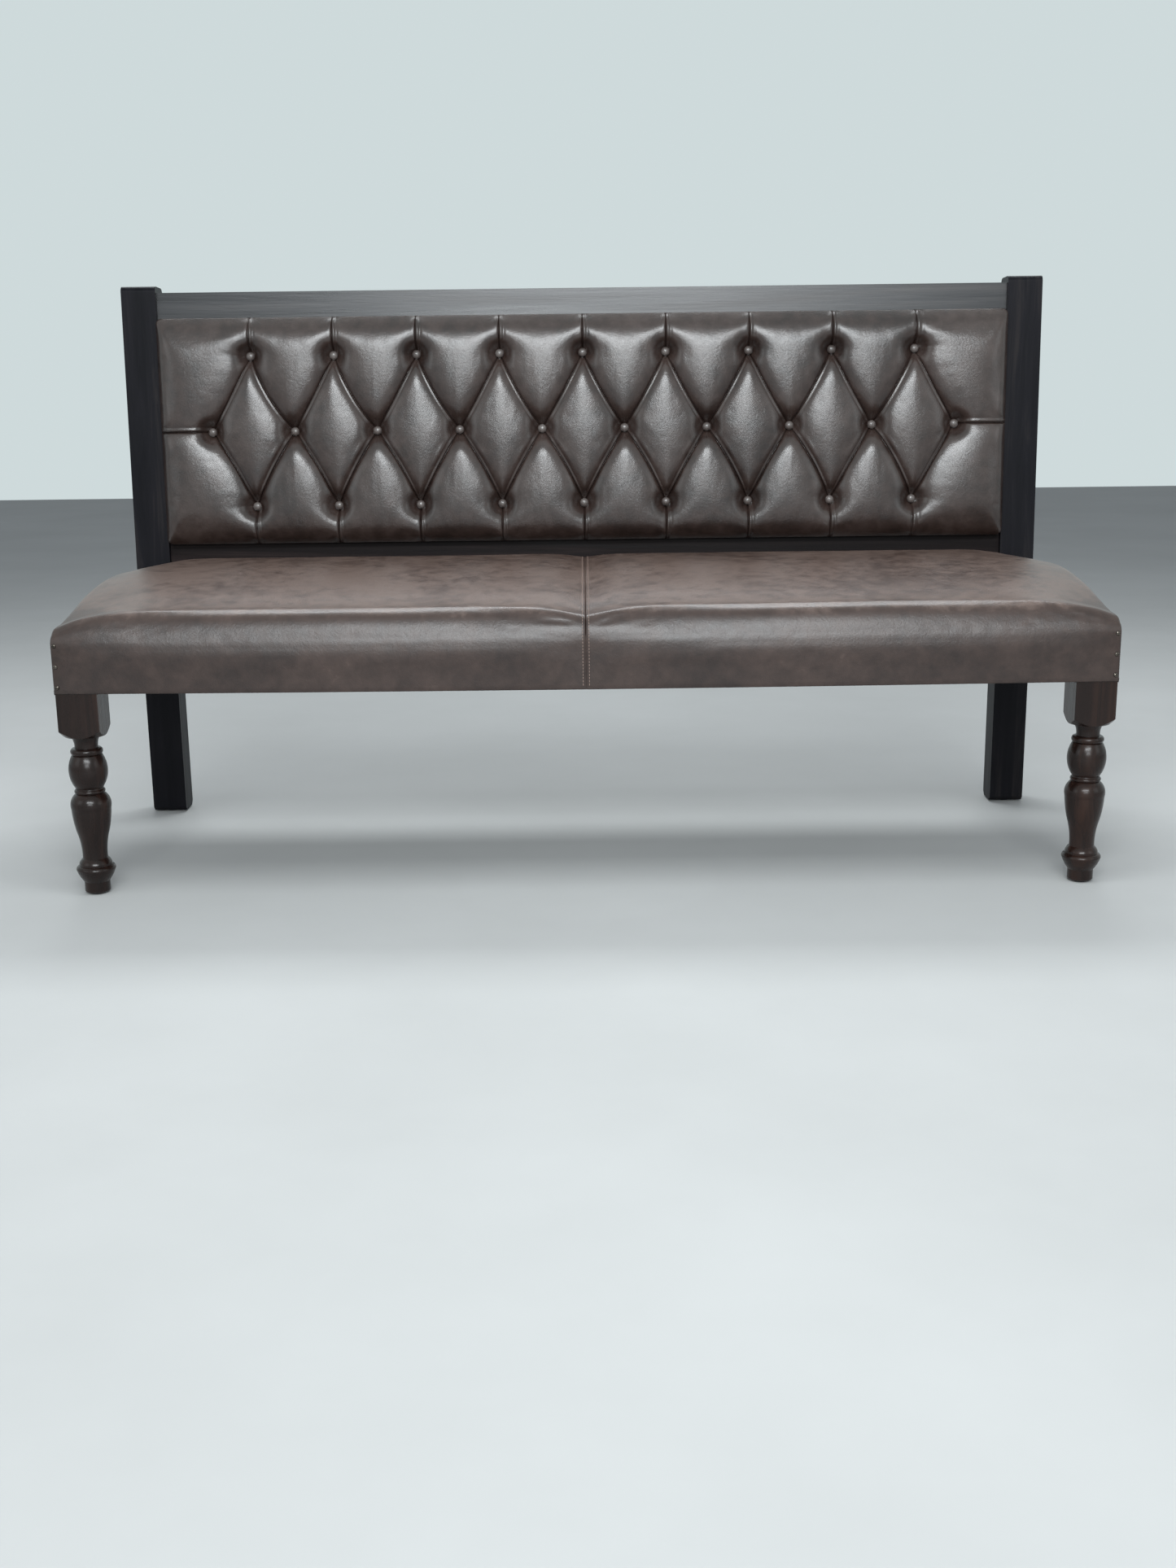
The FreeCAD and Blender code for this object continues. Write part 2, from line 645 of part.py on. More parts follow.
block_screw_solids = []
block_screw_holes = {}
for side_name, sign in SIDES:
    block_screw_solids += diagonal_copies(block_screw, sign)
    hole_solids = diagonal_copies(block_screw_hole, sign)
    block_screw_holes[sign] = formed(f"block_screw_holes_{side_name}", Part.makeCompound(hole_solids))
keep("corner_block_screws", formed("corner_block_screws", Part.makeCompound(block_screw_solids)))

coach_seat = post_front + d.post_depth - d.coach_recess_depth
coach_grip = coach_seat - rear_joint + d.coach_bite + d.washer_thickness
coach_head = doc.addObject("Part::Prism", "coach_head")
coach_head.Polygon = 6
coach_head.setExpression("Circumradius", d.coach_head_radius.formula)
coach_head.setExpression("Height", d.coach_head_height.formula)
coach_shank = rod("coach_shank", d.coach_radius, coach_grip, 0, 0, -coach_grip)
coach = joined("coach", [coach_head, coach_shank])
coach_hole = rod("coach_hole", d.coach_radius + gap, coach_grip + d.joint_end_clearance,
                 0, 0, -coach_grip - d.joint_end_clearance)
coach_recess = rod("coach_recess", d.coach_recess_radius, d.coach_recess_depth * 2, 0, 0, 0)
keep("coach_screws", copies("coach_screws", coach, coach_spots(coach_seat + d.washer_thickness), TURN_BACK))
coach_washer = turned("coach_washer", [
    (d.coach_radius + gap, ZERO, None),
    (d.washer_radius, ZERO, None),
    (d.washer_radius, d.washer_thickness, None),
    (d.coach_radius + gap, d.washer_thickness, None)])
keep("coach_washers", copies("coach_washers", coach_washer, coach_spots(coach_seat), TURN_BACK))
coach_holes = copies("coach_holes", coach_hole, coach_spots(coach_seat + d.washer_thickness), TURN_BACK)
coach_recesses = copies("coach_recesses", coach_recess, coach_spots(coach_seat), TURN_BACK)

nail = turned("nail", [
    (ZERO, -d.nail_length, None),
    (d.nail_shank_radius, -d.nail_length + d.nail_tip, None),
    (d.nail_shank_radius, ZERO, None),
    (d.nail_radius, ZERO, cap_bulge(d.nail_radius, d.nail_dome)),
    (ZERO, d.nail_dome, None)])
nail_hole = rod("nail_hole", d.nail_shank_radius + gap, d.nail_length + d.joint_end_clearance,
                0, 0, -d.nail_length - d.joint_end_clearance)
keep("corner_nails", copies("corner_nails", nail, nail_spots(front - d.cover_thickness), TURN_FRONT))
nail_holes = copies("nail_holes", nail_hole, nail_spots(front - d.cover_thickness), TURN_FRONT)

glide = turned("glide", [
    (ZERO, ZERO, None),
    (d.glide_radius - d.glide_ease, ZERO, None),
    (d.glide_radius, d.glide_ease, None),
    (d.glide_radius, d.glide_thickness, None),
    (d.glide_pin_radius, d.glide_thickness, None),
    (d.glide_pin_radius, d.glide_thickness + d.glide_pin_length, None),
    (ZERO, d.glide_thickness + d.glide_pin_length, None)])
glide_depth = d.glide_thickness + d.glide_pin_length + d.joint_end_clearance
glide_hole = rod("glide_hole", d.glide_pin_radius + gap, glide_depth, 0, 0, 0)
keep("foot_glides", copies("foot_glides", glide, glide_spots()))
glide_holes = copies("glide_holes", glide_hole, glide_spots())

pad_screw_length = d.back_rail_thickness + d.cover_thickness + d.pad_screw_bite
pad_screw = turned("pad_screw", screw_outline(
    d.pad_screw_radius, d.pad_screw_head, d.pad_screw_taper, pad_screw_length, ZERO, ZERO))
pad_screw_hole = turned("pad_screw_hole", screw_outline(
    d.pad_screw_radius, d.pad_screw_head, d.pad_screw_taper, pad_screw_length, gap, d.joint_end_clearance))
keep("pad_screws", copies("pad_screws", pad_screw, pad_screw_spots(rail_back), TURN_BACK, True))
pad_screw_holes = copies("pad_screw_holes", pad_screw_hole, pad_screw_spots(rail_back), TURN_BACK, True)


# Tenons: a rail's end and the socket that takes it share one function, with a clearance for the socket.
def rail_tenon(name, sign, spare, end):
    """Front rail's tenon, or its socket, in the front leg."""
    low, high = half - d.leg_block, half - d.leg_block + d.tenon_length + end
    x = (low, high) if sign > 0 else (-high, -low)
    middle = front + d.rail_thickness / 2
    reach = d.tenon_thickness / 2 + spare
    return block(name, x, (middle - reach, middle + reach),
                 (d.rail_bottom + d.tenon_shoulder - spare, rail_top - d.tenon_shoulder + spare))


def side_tenon(name, sign, spare, end):
    """Side rail's tenon, or its socket, in the front leg."""
    reach = d.tenon_thickness / 2 + spare
    middle = side_middle * sign
    y = front + d.leg_block
    return block(name, (middle - reach, middle + reach), (y - d.tenon_length - end, y),
                 (d.rail_bottom + d.tenon_shoulder - spare, rail_top - d.tenon_shoulder + spare))


def back_tenon(name, sign, low, high, spare, end):
    """Back rail's tenon, or its socket, in a post."""
    start, stop = inner_post, inner_post + d.tenon_length + end
    x = (start, stop) if sign > 0 else (-stop, -start)
    middle = d.rail_setback + d.back_rail_thickness / 2
    reach = d.tenon_thickness / 2 + spare
    return block(name, x, (middle - reach, middle + reach),
                 (low + d.tenon_shoulder - spare, high - d.tenon_shoulder + spare), True)


def stile_tenon(name, sign, joint, way, spare, end):
    """Upright's tenon, or its socket, in a back rail. It runs up or down from the joint."""
    middle = d.button_pitch * d.stile_step * sign
    reach = d.stile_tenon_width / 2 + spare
    depth = d.rail_setback + d.stile_thickness / 2
    thick = d.stile_tenon_thickness / 2 + spare
    tip = joint + (d.stile_tenon_length + end) * way
    z = (joint, tip) if way > 0 else (tip, joint)
    return block(name, (middle - reach, middle + reach), (depth - thick, depth + thick), z, True)


spare, end_spare = d.joint_clearance, d.joint_end_clearance
BACK_RAILS = (
    ("top", top_rail_bottom, d.top_rail_top),
    ("bottom", d.bottom_rail_bottom, bottom_rail_top),
)

for side_name, sign in SIDES:
    leg = turned_leg(f"turned_leg_{side_name}")
    place(leg, leg_x * sign, leg_y, 0)
    keep(f"front_leg_{side_name}", cut(f"front_leg_{side_name}", leg, [
        rail_tenon(f"front_socket_{side_name}", sign, spare, end_spare),
        side_tenon(f"side_socket_{side_name}", sign, spare, end_spare),
        nail_holes, glide_holes, block_screw_holes[sign]]))
    post = square_post(f"square_post_{side_name}")
    place(post, post_x * sign, post_front, 0)
    sockets = [
        back_tenon(f"{rail}_socket_{side_name}", sign, low, high, spare, end_spare)
        for rail, low, high in BACK_RAILS
    ]
    keep(f"rear_post_{side_name}", cut(f"rear_post_{side_name}", post, sockets + [
        coach_holes, coach_recesses, glide_holes]))

# Seat box.
rail_z = (d.rail_bottom, rail_top)
cross_z = (d.rail_bottom, d.rail_bottom + d.cross_rail_height)
front_dowel_holes = copies("front_dowel_holes", dowel_hole, front_dowels, TURN_BACK)
rear_dowel_holes = copies("rear_dowel_holes", dowel_hole, rear_dowels, TURN_BACK)
side_dowel_holes = copies("side_dowel_holes", dowel_hole, side_dowels, TURN_BACK)
front_stock = block("front_stock", (d.leg_block - half, half - d.leg_block), (front, front_joint), rail_z)
front_tenons = [rail_tenon(f"front_tenon_{side_name}", sign, ZERO, ZERO) for side_name, sign in SIDES]
front_rail = joined("front_rail_joined", [front_stock] + front_tenons)
keep("seat_front_rail", cut("seat_front_rail", front_rail, [front_dowel_holes]))
rear_stock = block("rear_stock", (-half, half), (rear_joint, box_back), rail_z)
keep("seat_rear_rail", cut("seat_rear_rail", rear_stock, [rear_dowel_holes, side_dowel_holes, coach_holes]))
for side_name, sign in SIDES:
    x = (half - d.rail_thickness, half) if sign > 0 else (-half, d.rail_thickness - half)
    stock = block(f"side_stock_{side_name}", x, (front + d.leg_block, rear_joint), rail_z)
    tenon = side_tenon(f"side_tenon_{side_name}", sign, ZERO, ZERO)
    rail = joined(f"side_rail_joined_{side_name}", [stock, tenon])
    keep(f"seat_side_rail_{side_name}", cut(f"seat_side_rail_{side_name}", rail, [side_dowel_holes]))
for side_name, place_x in CROSS_RAILS:
    middle = d.cross_rail_spacing * place_x
    x = (middle - d.rail_thickness / 2, middle + d.rail_thickness / 2)
    stock = block(f"cross_stock_{side_name}", x, (front_joint, rear_joint), cross_z)
    keep(f"seat_cross_rail_{side_name}", cut(
        f"seat_cross_rail_{side_name}", stock, [front_dowel_holes, rear_dowel_holes]))


def corner_block(name, points, holes):
    """A glued block in a corner of the seat box."""
    body = doc.addObject("PartDesign::Body", f"{name}_stock")
    sketch = outline(body, f"{name}_plan", "XY_Plane", [(x, y, None) for x, y in points])
    padded_up(body, sketch, d.corner_block_height)
    place(body, 0, 0, d.rail_bottom + d.corner_block_lift)
    keep(name, cut(name, body, [holes]))


for side_name, sign in SIDES:
    inner_side = half - d.rail_thickness
    inner_leg = half - d.leg_block
    plan = [
        (inner_leg, front_joint),
        (inner_leg, front + d.leg_block),
        (inner_side, front + d.leg_block),
        (inner_side, front + d.leg_block + d.front_block_reach),
        (inner_leg - d.front_block_reach, front_joint),
    ]
    corner_block(
        f"corner_block_front_{side_name}", [(x * sign, y) for x, y in plan], block_screw_holes[sign])
    plan = [
        (inner_side, rear_joint),
        (inner_side - d.rear_block_reach, rear_joint),
        (inner_side, rear_joint - d.rear_block_reach),
    ]
    corner_block(f"corner_block_rear_{side_name}", [(x * sign, y) for x, y in plan], coach_holes)

# Webbing, hessian and the dust cloth.
strap_total = int(d.strap_count.value)
straps = []
for number in range(strap_total):
    middle = d.strap_spacing * (number - (strap_total - 1) / 2)
    straps.append(block(
        f"strap_{number + 1}", (middle - d.strap_width / 2, middle + d.strap_width / 2),
        (front + d.strap_inset, box_back - d.strap_inset), (rail_top, strap_top)))
keep("seat_webbing", gathered("seat_webbing", straps))
cloth = d.hessian_inset
keep("seat_hessian", block(
    "seat_hessian", (cloth - half, half - cloth), (front + cloth, box_back - cloth),
    (strap_top, hessian_top)))
lining_edge = d.lining_inset
lining_sheet = block(
    "lining_sheet", (lining_edge - half, half - lining_edge), (front + lining_edge, box_back - lining_edge),
    (cover_bottom - d.lining_thickness, cover_bottom))


def leg_notches(name, clearance, low, high):
    """The space of both front legs' blocks, with a clearance."""
    notches = []
    for side_name, sign in SIDES:
        inner = half - d.leg_block - clearance
        x = (inner, half + clearance) if sign > 0 else (-half - clearance, -inner)
        y = (front - clearance, front + d.leg_block + clearance)
        notches.append(block(f"{name}_{side_name}", x, y, (low, high)))
    return notches


keep("bottom_lining", cut("bottom_lining", lining_sheet, leg_notches(
    "lining_notch", d.lining_leg_clearance, cover_bottom - d.lining_thickness * 2, d.rail_bottom)))


# Seat filling and leather. The form runs along the settee through upright sections: flat sides over the
# rails, a rounded front ridge, a crown, and ends that round down a long way.
def seat_section(x, inset, bottom, rounding, dip):
    near = front.value - d.cover_thickness.value + inset
    top = rail_top.value - inset
    far = post_front.value - inset
    drop = (d.end_drop.value - inset) * rounding + dip / 2
    ridge_drop = (d.ridge_end_drop.value - inset) * rounding + dip
    ridge = Vector(x, near + d.front_round.value - inset, top + d.ridge_rise.value - ridge_drop)
    rear = Vector(x, far - d.rear_round.value + inset, top + d.rear_rise.value - drop)
    crown = Vector(x, (near + far) / 2, top + d.crown_rise.value - drop)
    front_start = Vector(x, near, hessian_top.value + d.front_break.value)
    rear_end = Vector(x, far, hessian_top.value + d.rear_break.value)

    def rounded(low, high):
        """The middle of an arc that leaves the low point upright and reaches the high one."""
        across, up = high.y - low.y, high.z - low.z
        radius = (across * across + up * up) / (abs(across) * 2)
        turn = math.atan2(up, radius - abs(across)) / 2
        way = math.copysign(radius, across)
        return Vector(x, low.y + way * (1 - math.cos(turn)), low.z + radius * math.sin(turn))

    low_front, low_rear = Vector(x, near, bottom), Vector(x, far, bottom)
    return Part.Wire([
        Part.makeLine(low_front, front_start),
        Part.Arc(front_start, rounded(front_start, ridge), ridge).toShape(),
        Part.Arc(ridge, crown, rear).toShape(),
        Part.Arc(rear, rounded(rear_end, rear), rear_end).toShape(),
        Part.makeLine(rear_end, low_rear),
        Part.makeLine(low_rear, low_front),
    ])


def seat_form(inset, bottom):
    end = half.value + d.cover_thickness.value - inset
    length = d.end_round_length.value - inset
    stations = []
    for angle in (0, 18, 36, 54, 72, 90):
        turn = math.radians(angle)
        stations.append((end - length * (1 - math.cos(turn)), 1 - math.sin(turn), 0))
    for nearness in (0, 0.5, 1):
        stations.append((
            d.seam_reach.value * (1 - nearness), 0, d.seam_dip.value * nearness * nearness))
    sections = []
    for sign in (-1, 1):
        for x, rounding, dip in stations if sign < 0 else reversed(stations[:-1]):
            sections.append(seat_section(x * sign, inset, bottom, rounding, dip))
    return Part.makeLoft(sections, True, True)


leather = d.cover_thickness.value
outer_seat = formed("seat_outside", seat_form(0, cover_bottom.value))
inner_seat = formed("seat_inside", seat_form(leather, d.rail_bottom.value))
keep("seat_foam", formed("seat_foam", seat_form(leather + d.foam_gap.value, hessian_top.value)))
opening = block(
    "seat_opening", (d.flange_width - half, half - d.flange_width),
    (front + d.flange_width, box_back - d.flange_width),
    (cover_bottom - d.overrun, d.rail_bottom + d.overrun))
seat_leather = cut("seat_leather", outer_seat, [inner_seat])
seat_leather_open = cut("seat_leather_open", seat_leather, [opening] + leg_notches(
    "leather_notch", d.cover_leg_clearance, cover_bottom - d.overrun, d.rail_bottom))
seat_leather_holed = cut("seat_leather_holed", seat_leather_open, [nail_holes, coach_holes])
beyond = half + d.cover_thickness * 2
tall = (cover_bottom - d.overrun, rail_top + d.crown_rise * 2)
long = (front - d.cover_thickness * 2, post_front + d.overrun)
for side_name, sign in SIDES:
    x = (ZERO, beyond) if sign > 0 else (-beyond, ZERO)
    share = doc.addObject("Part::Common", f"seat_cover_{side_name}")
    share.Base = seat_leather_holed
    share.Tool = block(f"seat_half_{side_name}", x, long, tall)
    keep(f"seat_cover_{side_name}", share)

# Back frame.
for rail, low, high in BACK_RAILS:
    stock = block(
        f"{rail}_rail_stock", (-inner_post, inner_post), (d.rail_setback, rail_back), (low, high), True)
    tenons = [
        back_tenon(f"{rail}_tenon_{side_name}", sign, low, high, ZERO, ZERO) for side_name, sign in SIDES
    ]
    joint, way = (low, 1) if rail == "top" else (high, -1)
    sockets = [
        stile_tenon(f"{rail}_stile_socket_{side_name}", sign, joint, way, spare, end_spare)
        for side_name, sign in SIDES
    ]
    whole = joined(f"{rail}_rail_joined", [stock] + tenons)
    keep(f"back_{rail}_rail", cut(f"back_{rail}_rail", whole, sockets + [pad_screw_holes]))
for side_name, sign in SIDES:
    middle = d.button_pitch * d.stile_step * sign
    stock = block(
        f"stile_stock_{side_name}", (middle - d.stile_width / 2, middle + d.stile_width / 2),
        (d.rail_setback, d.rail_setback + d.stile_thickness), (bottom_rail_top, top_rail_bottom), True)
    keep(f"back_stile_{side_name}", joined(f"back_stile_{side_name}", [
        stock,
        stile_tenon(f"stile_top_{side_name}", sign, top_rail_bottom, 1, ZERO, ZERO),
        stile_tenon(f"stile_foot_{side_name}", sign, bottom_rail_top, -1, ZERO, ZERO)]))
panel_x = inner_post - d.pad_side_gap
keep("back_lining_panel", block(
    "back_lining_panel", (-panel_x, panel_x), (rail_back, rail_back + d.panel_thickness),
    (d.bottom_rail_bottom + d.panel_inset, d.top_rail_top - d.panel_inset), True))

# Buttons, and the twine that pulls each one back against the board.
groove_face = board_front - d.groove_height
twine_run = d.groove_height + d.board_thickness + d.twine_washer_thickness
button = turned("button", [
    (ZERO, ZERO, None),
    (d.button_radius - d.button_ease, ZERO, None),
    (d.button_radius, d.button_ease, None),
    (d.button_radius, d.button_rim, cap_bulge(d.button_radius, d.button_dome)),
    (ZERO, d.button_rim + d.button_dome, None)])
twine = turned("twine", [
    (ZERO, -twine_run - d.knot_length, None),
    (d.knot_radius, -twine_run - d.knot_length, None),
    (d.knot_radius, -twine_run, None),
    (d.twine_radius, -twine_run, None),
    (d.twine_radius, ZERO, None),
    (ZERO, ZERO, None)])
twine_hole = rod(
    "twine_hole", d.twine_radius + gap, twine_run + d.overrun * 2, 0, 0, -twine_run - d.overrun)
twine_washer = turned("twine_washer", [
    (d.twine_radius + gap, ZERO, None),
    (d.twine_washer_radius, ZERO, None),
    (d.twine_washer_radius, d.twine_washer_thickness, None),
    (d.twine_radius + gap, d.twine_washer_thickness, None)])
keep("back_buttons", copies("back_buttons", button, button_spots(groove_face), TURN_FRONT, True))
keep("button_twines", copies("button_twines", twine, button_spots(groove_face), TURN_FRONT, True))
keep("twine_washers", copies("twine_washers", twine_washer, button_spots(board_back), TURN_BACK, True))
twine_holes = copies("twine_holes", twine_hole, button_spots(groove_face), TURN_FRONT, True)
board_x = pad_half - d.cover_thickness - d.foam_gap
board_low = d.pad_bottom + d.cover_thickness + d.foam_gap
board_high = d.pad_bottom + d.pad_height - d.cover_thickness - d.foam_gap
board = block("board_sheet", (-board_x, board_x), (board_front, board_back), (board_low, board_high), True)
keep("back_pad_board", cut("back_pad_board", board, [twine_holes, pad_screw_holes]))


# Deep-buttoned pad: the pleats between the buttons part it into puffs. Each puff rounds over from its
# pleats to a flat top, and each button sits in a flared dimple.
def puff_plans():
    """The outline of each puff, anticlockwise as seen from the front."""
    pitch, row = d.button_pitch.value, d.button_row_gap.value
    side, edge = pad_half.value, d.pad_height.value / 2
    short = int(d.long_row_count.value) - 1
    outer = pitch * (short - 1) / 2
    plans = []
    for number in range(short):
        x = pitch * number - outer
        plans.append([(x, -row), (x + pitch / 2, 0), (x, row), (x - pitch / 2, 0)])
    for number in range(short - 1):
        x = pitch * (number + 0.5) - outer
        left, right = x - pitch / 2, x + pitch / 2
        plans.append([(x, 0), (right, row), (right, edge), (left, edge), (left, row)])
        plans.append([(x, 0), (left, -row), (left, -edge), (right, -edge), (right, -row)])
    tip = outer + pitch / 2
    plans.append([(tip, 0), (side, 0), (side, edge), (outer, edge), (outer, row)])
    plans.append([(-side, 0), (-tip, 0), (-outer, row), (-outer, edge), (-side, edge)])
    plans.append([(outer, -row), (outer, -edge), (side, -edge), (side, 0), (tip, 0)])
    plans.append([(-outer, -row), (-tip, 0), (-side, 0), (-side, -edge), (-outer, -edge)])
    return plans


def drawn_in(plan, inset):
    """A convex outline moved inwards by the same distance all round."""
    lines = []
    for (x0, y0), (x1, y1) in zip(plan, plan[1:] + plan[:1]):
        length = math.hypot(x1 - x0, y1 - y0)
        normal = ((y0 - y1) / length, (x1 - x0) / length)
        lines.append((normal, normal[0] * x0 + normal[1] * y0 + inset))
    corners = []
    for (first, first_reach), (second, second_reach) in zip(lines[-1:] + lines[:-1], lines):
        turn = first[0] * second[1] - first[1] * second[0]
        corners.append((
            (first_reach * second[1] - second_reach * first[1]) / turn,
            (first[0] * second_reach - second[0] * first_reach) / turn))
    return corners


def upright(thing):
    """A leaning piece's shape before it is leaned back."""
    shape = thing.Shape.copy()
    shape.Placement = Placement()
    return shape


def pad_form(inset, back, holes=(), plugs=()):
    """The tufted pad before it is leaned back, drawn in by an inset, with its back at a given depth."""
    face = board_front.value
    level = d.groove_height.value - inset
    side = pad_half.value - inset
    low = d.pad_bottom.value + inset
    tall = d.pad_height.value - inset * 2
    slab = Part.makeBox(side * 2, back - face + level, tall, Vector(-side, face - level, low))
    if holes:
        slab = slab.cut(holes)
    if plugs:
        slab = slab.fuse(plugs)
    puffs = []
    for plan in puff_plans():
        rings = []
        for angle in (0, 30, 60, 90):
            turn = math.radians(angle)
            ring = drawn_in(plan, d.groove_half.value + inset + d.puff_span.value * (1 - math.cos(turn)))
            sunk = d.overrun.value if angle == 0 else 0
            depth = face - level - d.puff_rise.value * math.sin(turn) + sunk
            points = [Vector(x, depth, pad_middle.value + z) for x, z in ring]
            rings.append(Part.makePolygon(points + points[:1]))
        puffs.append(Part.makeLoft(rings, True, True))
    bottom_radius = d.button_radius.value + d.button_play.value + inset
    mouth = d.puff_rise.value + d.overrun.value
    dimples = []
    for x, _, z in button_spots(ZERO):
        middle = Vector(x.value, face - level, z.value)
        dimples.append(Part.makeCone(
            bottom_radius, bottom_radius + d.dimple_flare.value, mouth, middle, Vector(0, -1, 0)))
    return slab.fuse(Part.makeCompound(puffs).cut(Part.makeCompound(dimples)).Solids)


# What is taken out of the leather: the filling and board, the opening behind, and every hole.
twine_rods = upright(twine_holes).Solids
flange_rods = []
for x, _, z in pad_screw_spots(ZERO):
    start = Vector(x.value, board_back.value - d.overrun.value, z.value)
    flange_rods.append(Part.makeCylinder(
        d.pad_screw_radius.value + gap.value, d.cover_thickness.value + d.overrun.value * 2,
        start, Vector(0, 1, 0)))
flange = d.pad_flange.value
pad_opening = Part.makeBox(
    (pad_half.value - flange) * 2, d.cover_thickness.value + d.overrun.value * 2,
    d.pad_height.value - flange * 2,
    Vector(flange - pad_half.value, board_back.value - d.overrun.value, d.pad_bottom.value + flange))
outer_pad = formed("pad_outside", pad_form(0, d.rail_setback.value), True)
inner_pad = formed("pad_inside", pad_form(
    leather, board_back.value, plugs=twine_rods + flange_rods + [pad_opening]), True)
keep("back_pad_cover", cut("back_pad_cover", outer_pad, [inner_pad]))
keep("back_pad_foam", formed("back_pad_foam", pad_form(
    leather + d.foam_gap.value, board_front.value, holes=twine_rods), True))

doc.recompute()
for thing in doc.Objects:
    if "Invalid" in thing.State or "Error" in thing.State:
        raise RuntimeError(f"{thing.Label} did not build: {thing.State}")
os.makedirs("parts", exist_ok=True)
for name, thing in nodes.items():
    shape = thing.Shape
    if shape.isNull() or not shape.isValid() or not shape.Solids:
        raise RuntimeError(f"{name} is not a sound solid")
    shape.exportStep(f"parts/{name}.step")
print(f"{len(nodes)} pieces written")
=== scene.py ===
# %% [markdown]
# # A buttoned leather settee
# The settee is a long bench with a leather seat, a deep-buttoned leather back, dark stained posts and
# turned front legs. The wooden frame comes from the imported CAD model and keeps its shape. Leather is
# what solids show worst, so this script makes the seat, the back pad, the buttons, the stitching and
# the cloth underneath anew, and gives every part a finish made of nodes.

# %% load the frame
import math

import bpy
import numpy as np
from mathutils import Matrix, Vector, kdtree, noise


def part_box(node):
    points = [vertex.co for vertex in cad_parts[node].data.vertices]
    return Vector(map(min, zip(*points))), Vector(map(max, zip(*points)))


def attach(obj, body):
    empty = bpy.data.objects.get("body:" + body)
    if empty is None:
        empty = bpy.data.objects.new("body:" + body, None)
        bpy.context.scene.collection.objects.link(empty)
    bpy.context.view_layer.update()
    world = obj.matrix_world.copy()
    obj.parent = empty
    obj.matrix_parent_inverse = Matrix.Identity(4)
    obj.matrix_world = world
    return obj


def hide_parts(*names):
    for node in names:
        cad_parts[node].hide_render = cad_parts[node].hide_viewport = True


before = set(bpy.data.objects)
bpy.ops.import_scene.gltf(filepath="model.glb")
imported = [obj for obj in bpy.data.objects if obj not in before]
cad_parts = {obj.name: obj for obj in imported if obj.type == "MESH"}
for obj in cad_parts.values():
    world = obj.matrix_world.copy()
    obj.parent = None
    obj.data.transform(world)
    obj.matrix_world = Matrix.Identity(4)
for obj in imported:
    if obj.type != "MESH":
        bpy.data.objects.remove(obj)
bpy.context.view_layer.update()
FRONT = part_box("front_leg_left")[0].y
print("frame loaded,", len(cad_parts), "parts, front plane at", round(FRONT, 4))

# %% [markdown]
# ## Camera
# The view was worked out by fitting a pinhole camera to the posts, rails and legs. The focal length is
# given in photograph pixels, so it turns into millimetres on a 36 mm sensor laid along the long side.
# Three small turns follow: down, sideways and a slight roll.

# %% camera
PHOTO_HEIGHT = 1927
SENSOR = 36.0
FOCAL_PIXELS = 2114.5
TILT_DOWN, TURN, ROLL = 0.241, 0.0003, -0.0124
EYE = (0.0015, FRONT - 2.8691, 0.8986)


def camera_place():
    looking = Matrix(((1, 0, 0), (0, 0, -1), (0, 1, 0)))
    tilt = Matrix.Rotation(TILT_DOWN, 3, "X")
    turn = Matrix.Rotation(TURN, 3, "Y")
    roll = Matrix.Rotation(ROLL, 3, "Z")
    view = roll @ tilt @ turn @ looking
    place = Matrix((view[0], -view[1], -view[2])).transposed().to_4x4()
    place.translation = EYE
    return place


lens = bpy.data.cameras.new("photo_view")
lens.sensor_width = SENSOR
lens.lens = FOCAL_PIXELS / PHOTO_HEIGHT * SENSOR
camera = bpy.data.objects.new("photo_view", lens)
camera.matrix_world = camera_place()
bpy.context.scene.collection.objects.link(camera)
bpy.context.scene.camera = camera
print("camera of", round(lens.lens, 1), "mm")

# %% [markdown]
# ## Making a piece, making a finish
# Most pieces here are written as lists of points and faces. A finish is a node tree: patterns read the
# Object coordinates, so they stay put whatever way the piece is looked at. A few short helpers add a
# node, a colour ramp, a noise or a bump in one line each, which keeps the finishes readable.

# %% helpers for meshes and nodes
def new_piece(name, points, faces):
    mesh = bpy.data.meshes.new(name)
    mesh.from_pydata(np.asarray(points).tolist(), [], faces)
    mesh.shade_smooth()
    mesh.update()
    piece = bpy.data.objects.new(name, mesh)
    bpy.context.scene.collection.objects.link(piece)
    return piece


def start_finish(name):
    finish = bpy.data.materials.new(name)
    finish.use_nodes = True
    tree = finish.node_tree
    place = tree.nodes.new("ShaderNodeTexCoord").outputs["Object"]
    return finish, tree, tree.nodes["Principled BSDF"], place


def add(tree, kind, inputs, **settings):
    node = tree.nodes.new("ShaderNode" + kind)
    for key, value in settings.items():
        setattr(node, key, value)
    for key, value in inputs.items():
        if isinstance(value, bpy.types.NodeSocket):
            tree.links.new(value, node.inputs[key])
        else:
            node.inputs[key].default_value = value
    return node


def colours(tree, factor, stops):
    node = add(tree, "ValToRGB", {"Fac": factor})
    elements = node.color_ramp.elements
    elements[0].position, elements[0].color = stops[0][0], (*stops[0][1], 1)
    elements[1].position, elements[1].color = stops[-1][0], (*stops[-1][1], 1)
    for position, colour in stops[1:-1]:
        elements.new(position).color = (*colour, 1)
    return node.outputs["Color"]


def spread(tree, value, low, high, start=0.3, end=0.7):
    inputs = {"Value": value, "From Min": start, "From Max": end, "To Min": low, "To Max": high}
    return add(tree, "MapRange", inputs).outputs["Result"]


def mixed(tree, kind, first, second):
    node = add(tree, "Math", {0: first, 1: second}, operation=kind)
    return node.outputs["Value"]


